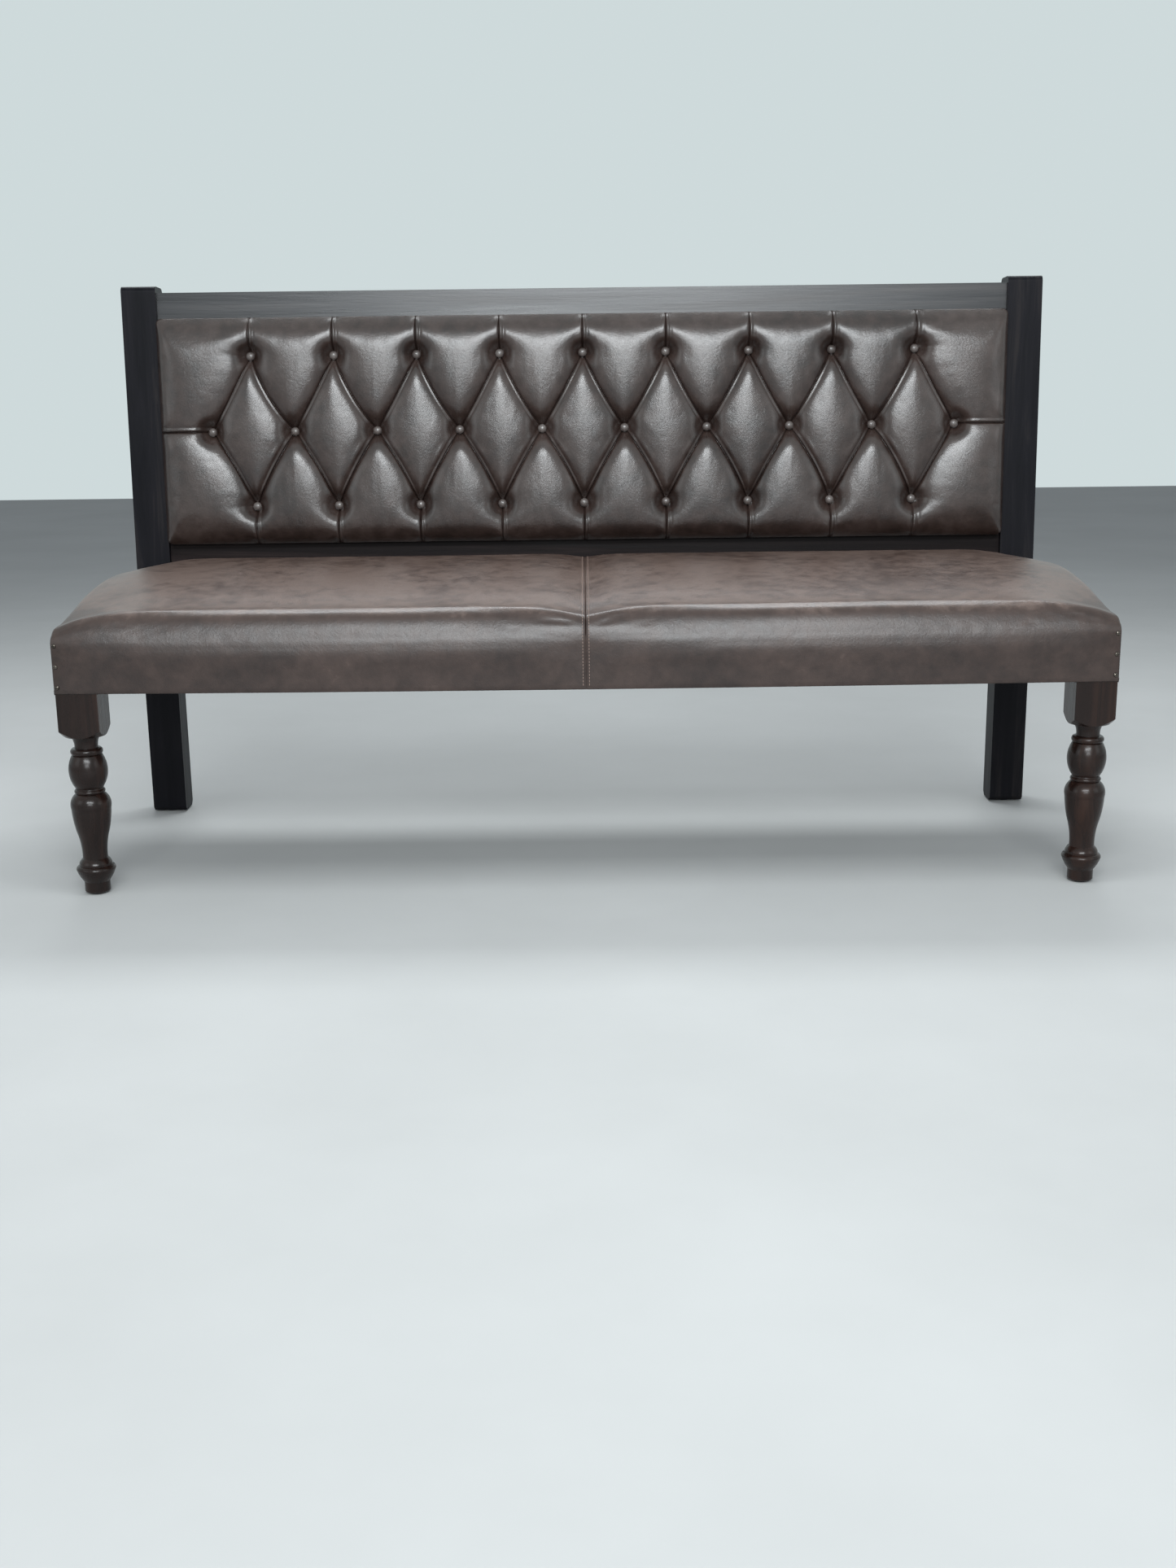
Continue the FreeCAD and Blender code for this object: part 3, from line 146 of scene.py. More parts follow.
def blended(tree, first, share, second):
    """Two patterns in shares that add up to one."""
    parts = mixed(tree, "MULTIPLY", first, share), mixed(tree, "MULTIPLY", second, 1 - share)
    return mixed(tree, "ADD", *parts)


def clouds(tree, place, scale, detail=5.0, roughness=0.6, distortion=0.0):
    inputs = {"Vector": place, "Scale": scale, "Detail": detail, "Roughness": roughness,
              "Distortion": distortion}
    return add(tree, "TexNoise", inputs).outputs["Fac"]


def bumped(tree, height, distance, strength, under=None):
    inputs = {"Height": height, "Distance": distance, "Strength": strength}
    if under:
        inputs["Normal"] = under
    return add(tree, "Bump", inputs).outputs["Normal"]


print("helpers ready")

# %% [markdown]
# ## Floor
# The floor only has to carry the shadow. One large square is enough, slow noise keeps it from being a
# single dead colour, and it is nearly matt, so no lamp shows in it.

# %% floor
FLOOR_REACH = 9.0
FLOOR_TONES = [(0.3, (0.53, 0.54, 0.53)), (0.7, (0.585, 0.595, 0.585))]
corners = [(x * FLOOR_REACH, y * FLOOR_REACH, 0) for x, y in ((-1, -1), (1, -1), (1, 1), (-1, 1))]
floor = new_piece("floor", corners, [(0, 1, 2, 3)])
floor_finish, tree, shader, place = start_finish("pale_floor")
tree.links.new(colours(tree, clouds(tree, place, 1.2), FLOOR_TONES), shader.inputs["Base Color"])
shader.inputs["Roughness"].default_value = 0.75
shader.inputs["Specular IOR Level"].default_value = 0.2
floor.data.materials.append(floor_finish)
print("floor", FLOOR_REACH * 2, "m wide")

# %% [markdown]
# ## Sky and lamps
# The sky is one colour where it is seen or mirrored and a weaker light elsewhere. A wide soft lamp hangs
# high, just before the seat, and shades each puff from top to bottom; most of it is a glow that glossy
# surfaces don't mirror, or every upper edge would carry a bright rim. A panel further off, at a flatter
# angle, puts the broad highlight on each puff and along the seat's front edge. A bright wall behind the
# viewer gives the rails and the pad their pale sheen. A lamp behind the settee clears the back and
# lightens the seat, and two weak lamps at the sides keep the posts and legs from sinking into black.

# %% sky and lamps
SKY_SEEN = (0.62, 0.70, 0.71)
SKY_LIGHT = (0.82, 0.89, 0.98)
SKY_STRENGTH = 0.24
LAMP_COLOUR = (0.93, 0.975, 1.0)


def make_sky():
    sky = bpy.data.worlds.new("pale_sky")
    sky.use_nodes = True
    tree = sky.node_tree
    lit = tree.nodes["Background"]
    lit.inputs["Color"].default_value = (*SKY_LIGHT, 1)
    lit.inputs["Strength"].default_value = SKY_STRENGTH
    seen = add(tree, "Background", {"Color": (*SKY_SEEN, 1), "Strength": 1.0})
    rays = add(tree, "LightPath", {})
    looked_at = rays.outputs["Is Camera Ray"]
    for kind in ("Is Glossy Ray", "Is Transmission Ray"):
        looked_at = mixed(tree, "MAXIMUM", looked_at, rays.outputs[kind])
    either = add(tree, "MixShader", {0: looked_at, 1: lit.outputs[0], 2: seen.outputs[0]})
    tree.links.new(either.outputs[0], tree.nodes["World Output"].inputs["Surface"])
    bpy.context.scene.world = sky


def soft_lamp(name, place, aim, width, height, power, mirrored=True):
    lamp = bpy.data.lights.new(name, "AREA")
    lamp.shape = "RECTANGLE"
    lamp.size, lamp.size_y = width, height
    lamp.energy, lamp.color = power, LAMP_COLOUR
    hung = bpy.data.objects.new(name, lamp)
    hung.location = place
    hung.rotation_euler = (Vector(aim) - Vector(place)).to_track_quat("-Z", "Y").to_euler()
    hung.visible_glossy = mirrored
    bpy.context.scene.collection.objects.link(hung)


make_sky()
soft_lamp("ceiling_glow", (0.0, FRONT - 0.75, 2.8), (0, -0.1, 0.5), 3.0, 1.3, 34, mirrored=False)
soft_lamp("ceiling_panel", (0.0, FRONT - 0.75, 2.8), (0, -0.1, 0.5), 3.0, 1.3, 18)
soft_lamp("far_panel", (0.0, FRONT - 4.2, 2.9), (0, 0, 0.6), 3.0, 0.7, 145)
soft_lamp("bright_wall", (0.15, FRONT - 5.2, 1.75), (0, 0, 0.9), 2.0, 1.0, 60)
soft_lamp("lamp_behind", (0.0, 1.6, 2.9), (0, -0.2, 0.5), 3.0, 0.8, 58)
soft_lamp("left_fill", (-3.2, FRONT - 1.6, 1.5), (0, 0, 0.5), 1.4, 1.4, 6)
soft_lamp("right_fill", (3.2, FRONT - 1.6, 1.5), (0, 0, 0.5), 1.4, 1.4, 6)
bpy.context.scene.view_settings.view_transform = "Standard"
print("sky and seven lamps")

# %% [markdown]
# ## Leather
# Upholstery hide is never one colour: the dye clouds over, rubs redder in places and goes greyish where
# it is worn. Slow noise gives the clouds and quicker noise the flecks. The top of the seat is shifted to
# a paler colour by its height, a painted sheen for the light the top catches. The grain is a Voronoi
# pattern of cells a little over a millimetre across, used as bump only, and long soft creases lie under
# it. The
# hide itself is dull, and a glossy finish lies over it, which is what the coat of the shader stands for:
# the dull part spreads light widely at a flat angle, and the coat gives the clear highlights.

# %% leather finishes
GRAIN_SIZE = 0.0013
HIDE_ROUGHNESS = 0.48
FINISH_IOR = 1.78
# painted sheen: the heights over which the seat's top turns paler, and by how much
PAINTED_SHEEN_FROM, PAINTED_SHEEN_TO, PAINTED_SHEEN_SHIFT = 0.474, 0.498, 0.25


def leather(name, dark, main, worn, gloss, shine, finish_coat, painted_sheen=None):
    finish, tree, shader, place = start_finish(name)
    cloud = clouds(tree, place, 4.5, 6.0, 0.62, 0.4)
    fleck = clouds(tree, place, 42.0, 5.0, 0.60, 0.2)
    tone = blended(tree, cloud, 0.52, fleck)
    stops = [(0.38, dark), (0.50, main), (0.64, worn)]
    # painted sheen: a paler stop that the top of the seat reaches through its height
    if painted_sheen:
        stops.append((0.80, painted_sheen))
        height = add(tree, "SeparateXYZ", {"Vector": place}).outputs["Z"]
        tone = mixed(tree, "ADD", tone, spread(tree, height, 0, PAINTED_SHEEN_SHIFT, PAINTED_SHEEN_FROM, PAINTED_SHEEN_TO))
    tree.links.new(colours(tree, tone, stops), shader.inputs["Base Color"])
    dull = spread(tree, fleck, HIDE_ROUGHNESS - 0.06, HIDE_ROUGHNESS + 0.08)
    tree.links.new(dull, shader.inputs["Roughness"])
    pebbles = {"Vector": place, "Scale": 1 / GRAIN_SIZE}
    cells = add(tree, "TexVoronoi", pebbles, feature="DISTANCE_TO_EDGE")
    grain = bumped(tree, cells.outputs["Distance"], 0.0003, 0.30)
    pores = bumped(tree, clouds(tree, place, 240.0, 3.0), 0.0006, 0.22, grain)
    wrinkles = bumped(tree, clouds(tree, place, 95.0, 4.0, 0.65, 1.2), 0.0016, 0.18, pores)
    creases = bumped(tree, clouds(tree, place, 16.0, 4.0, 0.55, 0.8), 0.004, 0.12, wrinkles)
    tree.links.new(creases, shader.inputs["Normal"])
    shader.inputs["Specular IOR Level"].default_value = shine
    shader.inputs["Coat Weight"].default_value = finish_coat
    shader.inputs["Coat Roughness"].default_value = gloss
    shader.inputs["Coat IOR"].default_value = FINISH_IOR
    tree.links.new(wrinkles, shader.inputs["Coat Normal"])
    return finish


SEAT_BROWN = ((0.0165, 0.0075, 0.0054), (0.0290, 0.0150, 0.0112), (0.047, 0.0270, 0.0210))
# painted sheen: the paler colour that the top of the seat is shifted towards
PAINTED_SHEEN_BROWN = (0.122, 0.082, 0.067)
BACK_BROWN = ((0.014, 0.0072, 0.0056), (0.026, 0.0148, 0.0118), (0.044, 0.0285, 0.0242))
# painted highlight: the buttons' leather is a much paler, greyer copy of the back's, for the light their
# domes catch
BUTTON_PAINTED_HIGHLIGHT_BROWN = ((0.050, 0.038, 0.034), (0.088, 0.071, 0.065), (0.135, 0.116, 0.108))
seat_hide = leather("seat_hide", *SEAT_BROWN, 0.31, 0.26, 0.42, PAINTED_SHEEN_BROWN)
back_hide = leather("back_hide", *BACK_BROWN, 0.25, 0.20, 0.66)
button_hide_painted_highlight = leather("button_hide_painted_highlight", *BUTTON_PAINTED_HIGHLIGHT_BROWN, 0.20, 0.30, 0.60)
print("three leathers")

# %% [markdown]
# ## Wood
# The posts and rails are stained nearly black, the legs are a dark polished walnut colour and the hidden
# framing is left raw. The bottom rail, in the shade of the pad, gets its own redder and duller copy of
# the stain, which is painted shade. Grain is noise stretched along one axis, so each part names the axis
# its fibres run along: upright for legs and posts, sideways for rails. The pores are a finer stretch of
# the same noise.

# %% wood finishes
AXES = {"X": 0, "Y": 1, "Z": 2}
FIBRES_ACROSS, FIBRES_ALONG = 34.0, 1.5
POLISH_GLOSS = 0.16


def wood(name, dark, main, pale, grain, gloss, polish, shine=0.42):
    finish, tree, shader, place = start_finish(name)
    stretch = [FIBRES_ACROSS] * 3
    stretch[AXES[grain]] = FIBRES_ALONG
    along = add(tree, "Mapping", {"Vector": place, "Scale": stretch}).outputs["Vector"]
    streak = clouds(tree, along, 1.0, 7.0, 0.62, 0.9)
    pores = clouds(tree, along, 7.0, 3.0, 0.6)
    smoke = clouds(tree, place, 3.0, 3.0)
    stain = colours(tree, blended(tree, streak, 0.75, smoke), [(0.32, dark), (0.5, main), (0.70, pale)])
    tree.links.new(stain, shader.inputs["Base Color"])
    tree.links.new(spread(tree, streak, gloss - 0.05, gloss + 0.08), shader.inputs["Roughness"])
    tree.links.new(bumped(tree, pores, 0.0008, 0.22), shader.inputs["Normal"])
    shader.inputs["Specular IOR Level"].default_value = shine
    shader.inputs["Coat Weight"].default_value = polish
    shader.inputs["Coat Roughness"].default_value = POLISH_GLOSS
    return finish


ESPRESSO = ((0.0030, 0.0030, 0.0046), (0.0062, 0.0058, 0.0082), (0.026, 0.022, 0.022))
# painted shade: a redder copy of the black stain, for the bottom rail in the pad's shade
PAINTED_SHADE_RED_BROWN = ((0.0045, 0.0032, 0.0036), (0.0110, 0.0074, 0.0074), (0.040, 0.028, 0.027))
WALNUT = ((0.0055, 0.0030, 0.0024), (0.0125, 0.0062, 0.0048), (0.034, 0.0155, 0.0105))
BEECH = ((0.30, 0.19, 0.10), (0.42, 0.28, 0.16), (0.52, 0.37, 0.23))
stained_upright = wood("stained_upright", *ESPRESSO, "Z", 0.42, 0.0, 0.12)
stained_sideways = wood("stained_sideways", *ESPRESSO, "X", 0.29, 0.0, 0.70)
# painted shade: the bottom rail's duller, redder copy of the stain
stained_in_painted_shade = wood("stained_in_painted_shade", *PAINTED_SHADE_RED_BROWN, "X", 0.46, 0.0, 0.10)
polished_leg = wood("polished_leg", *WALNUT, "Z", 0.26, 0.20, 0.22)
raw_sideways = wood("raw_sideways", *BEECH, "X", 0.62, 0.0)
raw_endways = wood("raw_endways", *BEECH, "Y", 0.62, 0.0)
raw_upright = wood("raw_upright", *BEECH, "Z", 0.62, 0.0)
print("seven woods")

# %% [markdown]
# ## Metal, plastic and twine
# Zinc-plated screws are pale and evenly dull. The nail heads are browned brass, darker in the hollows,
# and the glides, twines and sewing thread are plain things seen small. One speckled finish does for all
# of them: a quick noise sets colour, gloss and a slight bump together, and only its numbers differ.

# %% metal, plastic and twine finishes
def speckled(name, dark, main, scale, gloss, metal):
    finish, tree, shader, place = start_finish(name)
    fleck = clouds(tree, place, scale, 5.0, 0.65)
    tree.links.new(colours(tree, fleck, [(0.36, dark), (0.64, main)]), shader.inputs["Base Color"])
    tree.links.new(spread(tree, fleck, gloss + 0.1, gloss - 0.05), shader.inputs["Roughness"])
    tree.links.new(bumped(tree, fleck, 0.0003, 0.15), shader.inputs["Normal"])
    shader.inputs["Metallic"].default_value = metal
    return finish


zinc = speckled("zinc_plate", (0.42, 0.42, 0.40), (0.58, 0.58, 0.57), 90, 0.36, 1.0)
old_brass = speckled("browned_brass", (0.045, 0.038, 0.033), (0.15, 0.130, 0.113), 260, 0.17, 1.0)
black_plastic = speckled("black_plastic", (0.012, 0.012, 0.013), (0.022, 0.022, 0.023), 300, 0.50, 0.0)
waxed_twine = speckled("waxed_twine", (0.36, 0.28, 0.17), (0.50, 0.41, 0.27), 700, 0.60, 0.0)
seam_thread = speckled("seam_thread", (0.22, 0.15, 0.12), (0.34, 0.25, 0.21), 900, 0.55, 0.0)
print("five plain finishes")

# %% [markdown]
# ## Woven cloth
# Webbing, hessian and lining are threads crossing over and under. Modelling threads would cost millions
# of faces for cloth under the seat, so the weave is two sets of sine ridges crossing at right angles, at
# the real spacing of the threads, as bump and colour. A little sheen stands for the loose fibres.

# %% cloth finishes
def woven(name, dark, main, thread):
    finish, tree, shader, place = start_finish(name)
    parts = add(tree, "SeparateXYZ", {"Vector": place})
    waves = []
    for axis in ("X", "Y"):
        turns = mixed(tree, "MULTIPLY", parts.outputs[axis], math.tau / thread)
        waves.append(add(tree, "Math", {0: turns}, operation="SINE").outputs["Value"])
    weave = mixed(tree, "MULTIPLY", waves[0], waves[1])
    fuzz = clouds(tree, place, 220.0, 4.0)
    tone = mixed(tree, "ADD", mixed(tree, "MULTIPLY", weave, 0.22), fuzz)
    tree.links.new(colours(tree, tone, [(0.28, dark), (0.72, main)]), shader.inputs["Base Color"])
    tree.links.new(spread(tree, fuzz, 0.82, 0.95), shader.inputs["Roughness"])
    tree.links.new(bumped(tree, weave, thread * 0.3, 0.5), shader.inputs["Normal"])
    shader.inputs["Sheen Weight"].default_value = 0.15
    return finish


jute_strap = woven("jute_strap", (0.20, 0.13, 0.07), (0.36, 0.26, 0.15), 0.0022)
hessian_cloth = woven("hessian_cloth", (0.24, 0.17, 0.09), (0.42, 0.31, 0.19), 0.0018)
black_lining = woven("black_lining", (0.010, 0.010, 0.011), (0.026, 0.026, 0.027), 0.0011)
print("three cloths")

# %% [markdown]
# ## Swelling leather with cloth simulation
# Stuffed leather is a skin pushed out from behind and held down where it is sewn, tucked or tacked.
# Blender's Cloth does just that: a vertex group pins the held points, pressure pushes the rest out and
# gravity is off. The cloth is an even net a little coarser than the finished piece, because long and
# short cells side by side swell unevenly, and the piece then follows the net. Points may only move so
# far, because a real hide hardly stretches.

# %% the cloth helper
SWELL_FRAMES = 14
PIN_LEVELS = 10
LAST_CELL = 1.000001


def net_faces(index):
    """Four-sided faces of a grid of point numbers."""
    quads = np.stack((index[:-1, :-1], index[1:, :-1], index[1:, 1:], index[:-1, 1:]), axis=-1)
    return quads.reshape(-1, 4).tolist()


def points_of(mesh):
    flat = np.empty(len(mesh.vertices) * 3)
    mesh.vertices.foreach_get("co", flat)
    return flat.reshape(-1, 3)


def swell(net, held, pressure, most):
    """How far each point of a net (rows, columns, xyz) moves under pressure from behind."""
    scene = bpy.context.scene
    index = np.arange(net.shape[0] * net.shape[1]).reshape(net.shape[:2])
    skin = new_piece("cloth_net", net.reshape(-1, 3), net_faces(index))
    sewn = skin.vertex_groups.new(name="sewn")
    for level in range(1, PIN_LEVELS + 1):
        chosen = np.flatnonzero(np.rint(held.ravel() * PIN_LEVELS) == level)
        sewn.add(chosen.tolist(), level / PIN_LEVELS, "REPLACE")
    cloth = skin.modifiers.new("stuffing", "CLOTH")
    rules = cloth.settings
    rules.vertex_group_mass = sewn.name
    rules.mass = 0.002
    rules.quality = 3
    rules.tension_stiffness = rules.compression_stiffness = 12
    rules.shear_stiffness = 5
    rules.bending_stiffness = 0.4
    rules.air_damping = 2
    rules.use_pressure = True
    rules.uniform_pressure_force = pressure
    rules.effector_weights.gravity = 0
    cloth.point_cache.frame_start, cloth.point_cache.frame_end = 1, SWELL_FRAMES
    for step in range(1, SWELL_FRAMES + 1):
        scene.frame_set(step)
    ready = skin.evaluated_get(bpy.context.evaluated_depsgraph_get())
    moved = points_of(ready.data) - net.reshape(-1, 3)
    bpy.data.objects.remove(skin)
    scene.frame_set(1)
    far = np.linalg.norm(moved, axis=1)
    moved *= (most * np.tanh(far / most) / np.maximum(far, 1e-9))[:, None]
    print("the net of", len(moved), "points swelled by up to", round(float(far.max()) * 1000, 1), "mm")
    return moved.reshape(net.shape)


def finer(grid, rows, columns):
    """Reads a grid of movements between its points, at fractional rows and columns."""
    i = np.clip(rows, 0, grid.shape[0] - LAST_CELL)
    j = np.clip(columns, 0, grid.shape[1] - LAST_CELL)
    a, b = i.astype(int), j.astype(int)
    u, v = (i - a)[:, None], (j - b)[:, None]
    return ((1 - u) * (1 - v) * grid[a, b] + u * (1 - v) * grid[a + 1, b]
            + (1 - u) * v * grid[a, b + 1] + u * v * grid[a + 1, b + 1])


print("cloth runs for", SWELL_FRAMES, "frames")

# %% [markdown]
# ## Back pad: the plan
# The pad is deep-buttoned: 28 buttons in three staggered rows pull the hide down to a board, and the
# spare leather between them is folded into tucks that draw diamonds. The plan is therefore a set of
# four-sided patches, diamonds in the middle and open-topped puffs along the border, that share their
# tucks. Points crowd together near the tucks, where the surface bends most.

# %% rows, tucks and borders
PAD_HALF, PAD_LOW, PAD_HIGH = 0.832, 0.152, 0.589
PAD_MIDDLE = (PAD_LOW + PAD_HIGH) / 2
BUTTON_STEP, ROW_STEP = 0.1624, 0.145
BUTTON_LEVEL, TUCK_LEVEL, BORDER_LEVEL, PUFF_LEVEL = 0.0100, 0.0285, 0.0120, 0.0420
FUNNEL_FLAT, FUNNEL_REACH, FUNNEL_POWER = 0.0078, 0.0108, 1.5
FOLD_LEVEL, FOLD_RISE, FOLD_FALL = 0.0340, 0.012, 0.011
SLOW_RISE, SLOW_SHARE = 0.032, 0.28
PUFF_REACH, PUFF_POWER = 0.023, 0.85
DOME_REACH, DOME_SHARE = 0.070, 0.36
PULL = {"border": 0.58, "end": 1.25, "lip": 1.0, "under": 1.0, "pleat": 1.0}
DIAGONAL_CELLS, UPRIGHT_CELLS, END_CELLS = 34, 22, 28
BOW = 0.0050


def button_row(count, height):
    return [(BUTTON_STEP * (n - (count - 1) / 2), height) for n in range(count)]


upper = button_row(9, PAD_MIDDLE + ROW_STEP)
middle = button_row(10, PAD_MIDDLE)
lower = button_row(9, PAD_MIDDLE - ROW_STEP)


def crowded(cells):
    return (1 - np.cos(np.pi * np.arange(cells + 1) / cells)) / 2


def tuck(start, end, last_level, cells, side, bow=0.0):
    start, end, t = np.array(start), np.array(end), crowded(cells)
    run = end - start
    aside = np.array((-run[1], run[0])) / np.linalg.norm(run)
    line = start + np.outer(t, run) + np.outer(np.sin(np.pi * t) * bow, aside)
    base = BUTTON_LEVEL + (last_level - BUTTON_LEVEL) * t
    level = base + (TUCK_LEVEL - base) * np.sin(np.pi * t) ** 0.55
    return line, level, side


def diagonal(top, bottom, side):
    """A tuck between two rows. None is quite straight, and no two bow alike."""
    slack = 1.3 + 0.6 * math.sin(37 * top[0] + 11 * top[1])
    bow = BOW * 0.5 if bottom[0] < top[0] else -BOW * slack
    if top[1] <= PAD_MIDDLE:
        bow = -BOW * 0.5 if bottom[0] < top[0] else BOW
    return tuck(top, bottom, BUTTON_LEVEL, DIAGONAL_CELLS, side, bow)


def to_border(button, end, cells, side):
    """A border tuck climbs out of its button's hollow at once and stays high up to the edge. A lower one,
    which gravity slackens, climbs the last part slowly."""
    line, _, side = tuck(button, end, BORDER_LEVEL, cells, side)
    gone = np.linalg.norm(line - line[0], axis=1)
    left = gone[-1] - gone
    edge = BORDER_LEVEL + (FOLD_LEVEL - BORDER_LEVEL) * (1 - np.exp(-left / FOLD_FALL))
    slow = SLOW_SHARE if end[1] == PAD_LOW else 0.0
    climb = 1 - (1 - slow) * np.exp(-(gone / FOLD_RISE) ** 2)
    climb -= slow * np.exp(-(gone / SLOW_RISE) ** 2)
    return line, BUTTON_LEVEL + (edge - BUTTON_LEVEL) * climb, "pleat" if side == "lip" else side


def border(start, end, shares, kind="border"):
    line = np.array(start) + np.outer(shares, np.array(end) - np.array(start))
    return line, np.full(len(shares), BORDER_LEVEL), kind


def turned(edge):
    return edge[0][::-1], edge[1][::-1], edge[2]


def line_of(edges):
    return np.vstack([edges[0][0]] + [edge[0][1:] for edge in edges[1:]])


def shares_of(edges):
    steps = np.linalg.norm(np.diff(line_of(edges), axis=0), axis=1)
    return np.concatenate(([0], np.cumsum(steps))) / steps.sum()


print(len(upper) + len(middle) + len(lower), "buttons")

# %% [markdown]
# ## Back pad: the patches
# Each patch has a bottom, right, top and left side. A puff with five sides has two tucks joined end to
# end on one of them. One patch of each pair that meet at a tuck carries the folded lip of leather, the
# other dives under it.

# %% the patches
def diamond(n):
    top, left, right, bottom = upper[n], middle[n], middle[n + 1], lower[n]
    return ([diagonal(left, bottom, "lip")], [turned(diagonal(right, bottom, "lip"))],
            [diagonal(top, right, "lip")], [turned(diagonal(top, left, "lip"))])


half_way = crowded(DIAGONAL_CELLS) / 2
V_SHARES = np.concatenate((half_way, 0.5 + half_way[1:]))


def upper_puff(n):
    left, right, point = upper[n], upper[n + 1], middle[n + 1]
    ends = (left[0], PAD_HIGH), (right[0], PAD_HIGH)
    return ([diagonal(left, point, "under"), turned(diagonal(right, point, "under"))],
            [to_border(right, ends[1], UPRIGHT_CELLS, "under")],
            [border(*ends, V_SHARES)],
            [to_border(left, ends[0], UPRIGHT_CELLS, "lip")])


def lower_puff(n):
    left, right, point = lower[n], lower[n + 1], middle[n + 1]
    ends = (left[0], PAD_LOW), (right[0], PAD_LOW)
    return ([border(*ends, V_SHARES)],
            [turned(to_border(right, ends[1], UPRIGHT_CELLS, "under"))],
            [turned(diagonal(point, left, "under")), diagonal(point, right, "under")],
            [turned(to_border(left, ends[0], UPRIGHT_CELLS, "lip"))])


def end_puffs(sign):
    """The two corner patches at one end; their inner side is a tuck and a border tuck end to end."""
    inner = 0 if sign < 0 else -1
    last, high, low = middle[inner], upper[inner], lower[inner]
    outside = sign * PAD_HALF
    upright = "under" if sign < 0 else "lip"
    rising = [turned(diagonal(high, last, "under")),
              to_border(high, (high[0], PAD_HIGH), UPRIGHT_CELLS, upright)]
    sinking = [turned(to_border(low, (low[0], PAD_LOW), UPRIGHT_CELLS, upright)),
               turned(diagonal(last, low, "under"))]
    patches = []
    for inside, level, edge_level in ((rising, PAD_HIGH, high), (sinking, PAD_LOW, low)):
        side_lip = "lip" if inside is rising else "under"
        across = to_border(last, (outside, PAD_MIDDLE), END_CELLS, side_lip)
        rim = border((edge_level[0], level), (outside, level), crowded(END_CELLS))
        if sign < 0:
            across, rim = turned(across), turned(rim)
        ends = (PAD_MIDDLE, level) if inside is rising else (level, PAD_MIDDLE)
        outer = border((outside, ends[0]), (outside, ends[1]), shares_of(inside), "end")
        bottom, top = (across, rim) if inside is rising else (rim, across)
        right, left = ([outer], inside) if sign > 0 else (inside, [outer])
        patches.append(([bottom], right, [top], left))
    return patches


patches = [diamond(n) for n in range(9)] + [upper_puff(n) for n in range(8)]
patches += [lower_puff(n) for n in range(8)] + end_puffs(-1) + end_puffs(1)
print(len(patches), "patches")

# %% [markdown]
# ## Back pad: the heights
# The inside of a patch is blended from its four sides, which is called a Coons patch. Its height comes
# from how far each point is from the tucks around it: low beside them, full in the middle. Nearer tucks
# count for more, so the surface stays smooth where two of them are equally far.

# %% filling a patch
ROUND_CORNER = 0.012
EAR_HEIGHT, EAR_AT, EAR_WIDTH, EAR_DOWN, EAR_REACH = 0.0020, 0.0105, 0.0040, 0.27, 0.15
FAR_OFF, TOUCHING = 9.0, 1e-6
NEARER_COUNTS, FADE_SPEED, FUNNEL_HELD = 2.6, 2.5, 0.6


def hump(distance, place, width):
    return np.exp(-((distance - place) / width) ** 2)


def coons(sides):
    bottom, right, top, left = (line_of(side) for side in sides)
    u = shares_of(sides[0])[:, None, None]
    v = shares_of(sides[3])[None, :, None]
    across = (1 - v) * bottom[:, None] + v * top[:, None]
    along = (1 - u) * left[None, :] + u * right[None, :]
    corners = ((1 - u) * (1 - v) * bottom[0] + u * (1 - v) * bottom[-1]
               + (1 - u) * v * top[0] + u * v * top[-1])
    return across + along - corners


def nearest_on(line, level, points):
    """Distance from each point to the line, the line's level there and how far along it that is."""
    start, run = line[:-1], np.diff(line, axis=0)
    length = (run ** 2).sum(axis=1)
    offset = points[:, None] - start[None]
    t = np.clip((offset * run[None]).sum(axis=2) / length, 0, 1)
    gap = np.linalg.norm(offset - t[..., None] * run[None], axis=2)
    best = gap.argmin(axis=1)
    chosen = np.arange(len(points))
    part = t[chosen, best]
    along = (best + part) / len(run)
    return gap[chosen, best], level[best] * (1 - part) + level[best + 1] * part, along


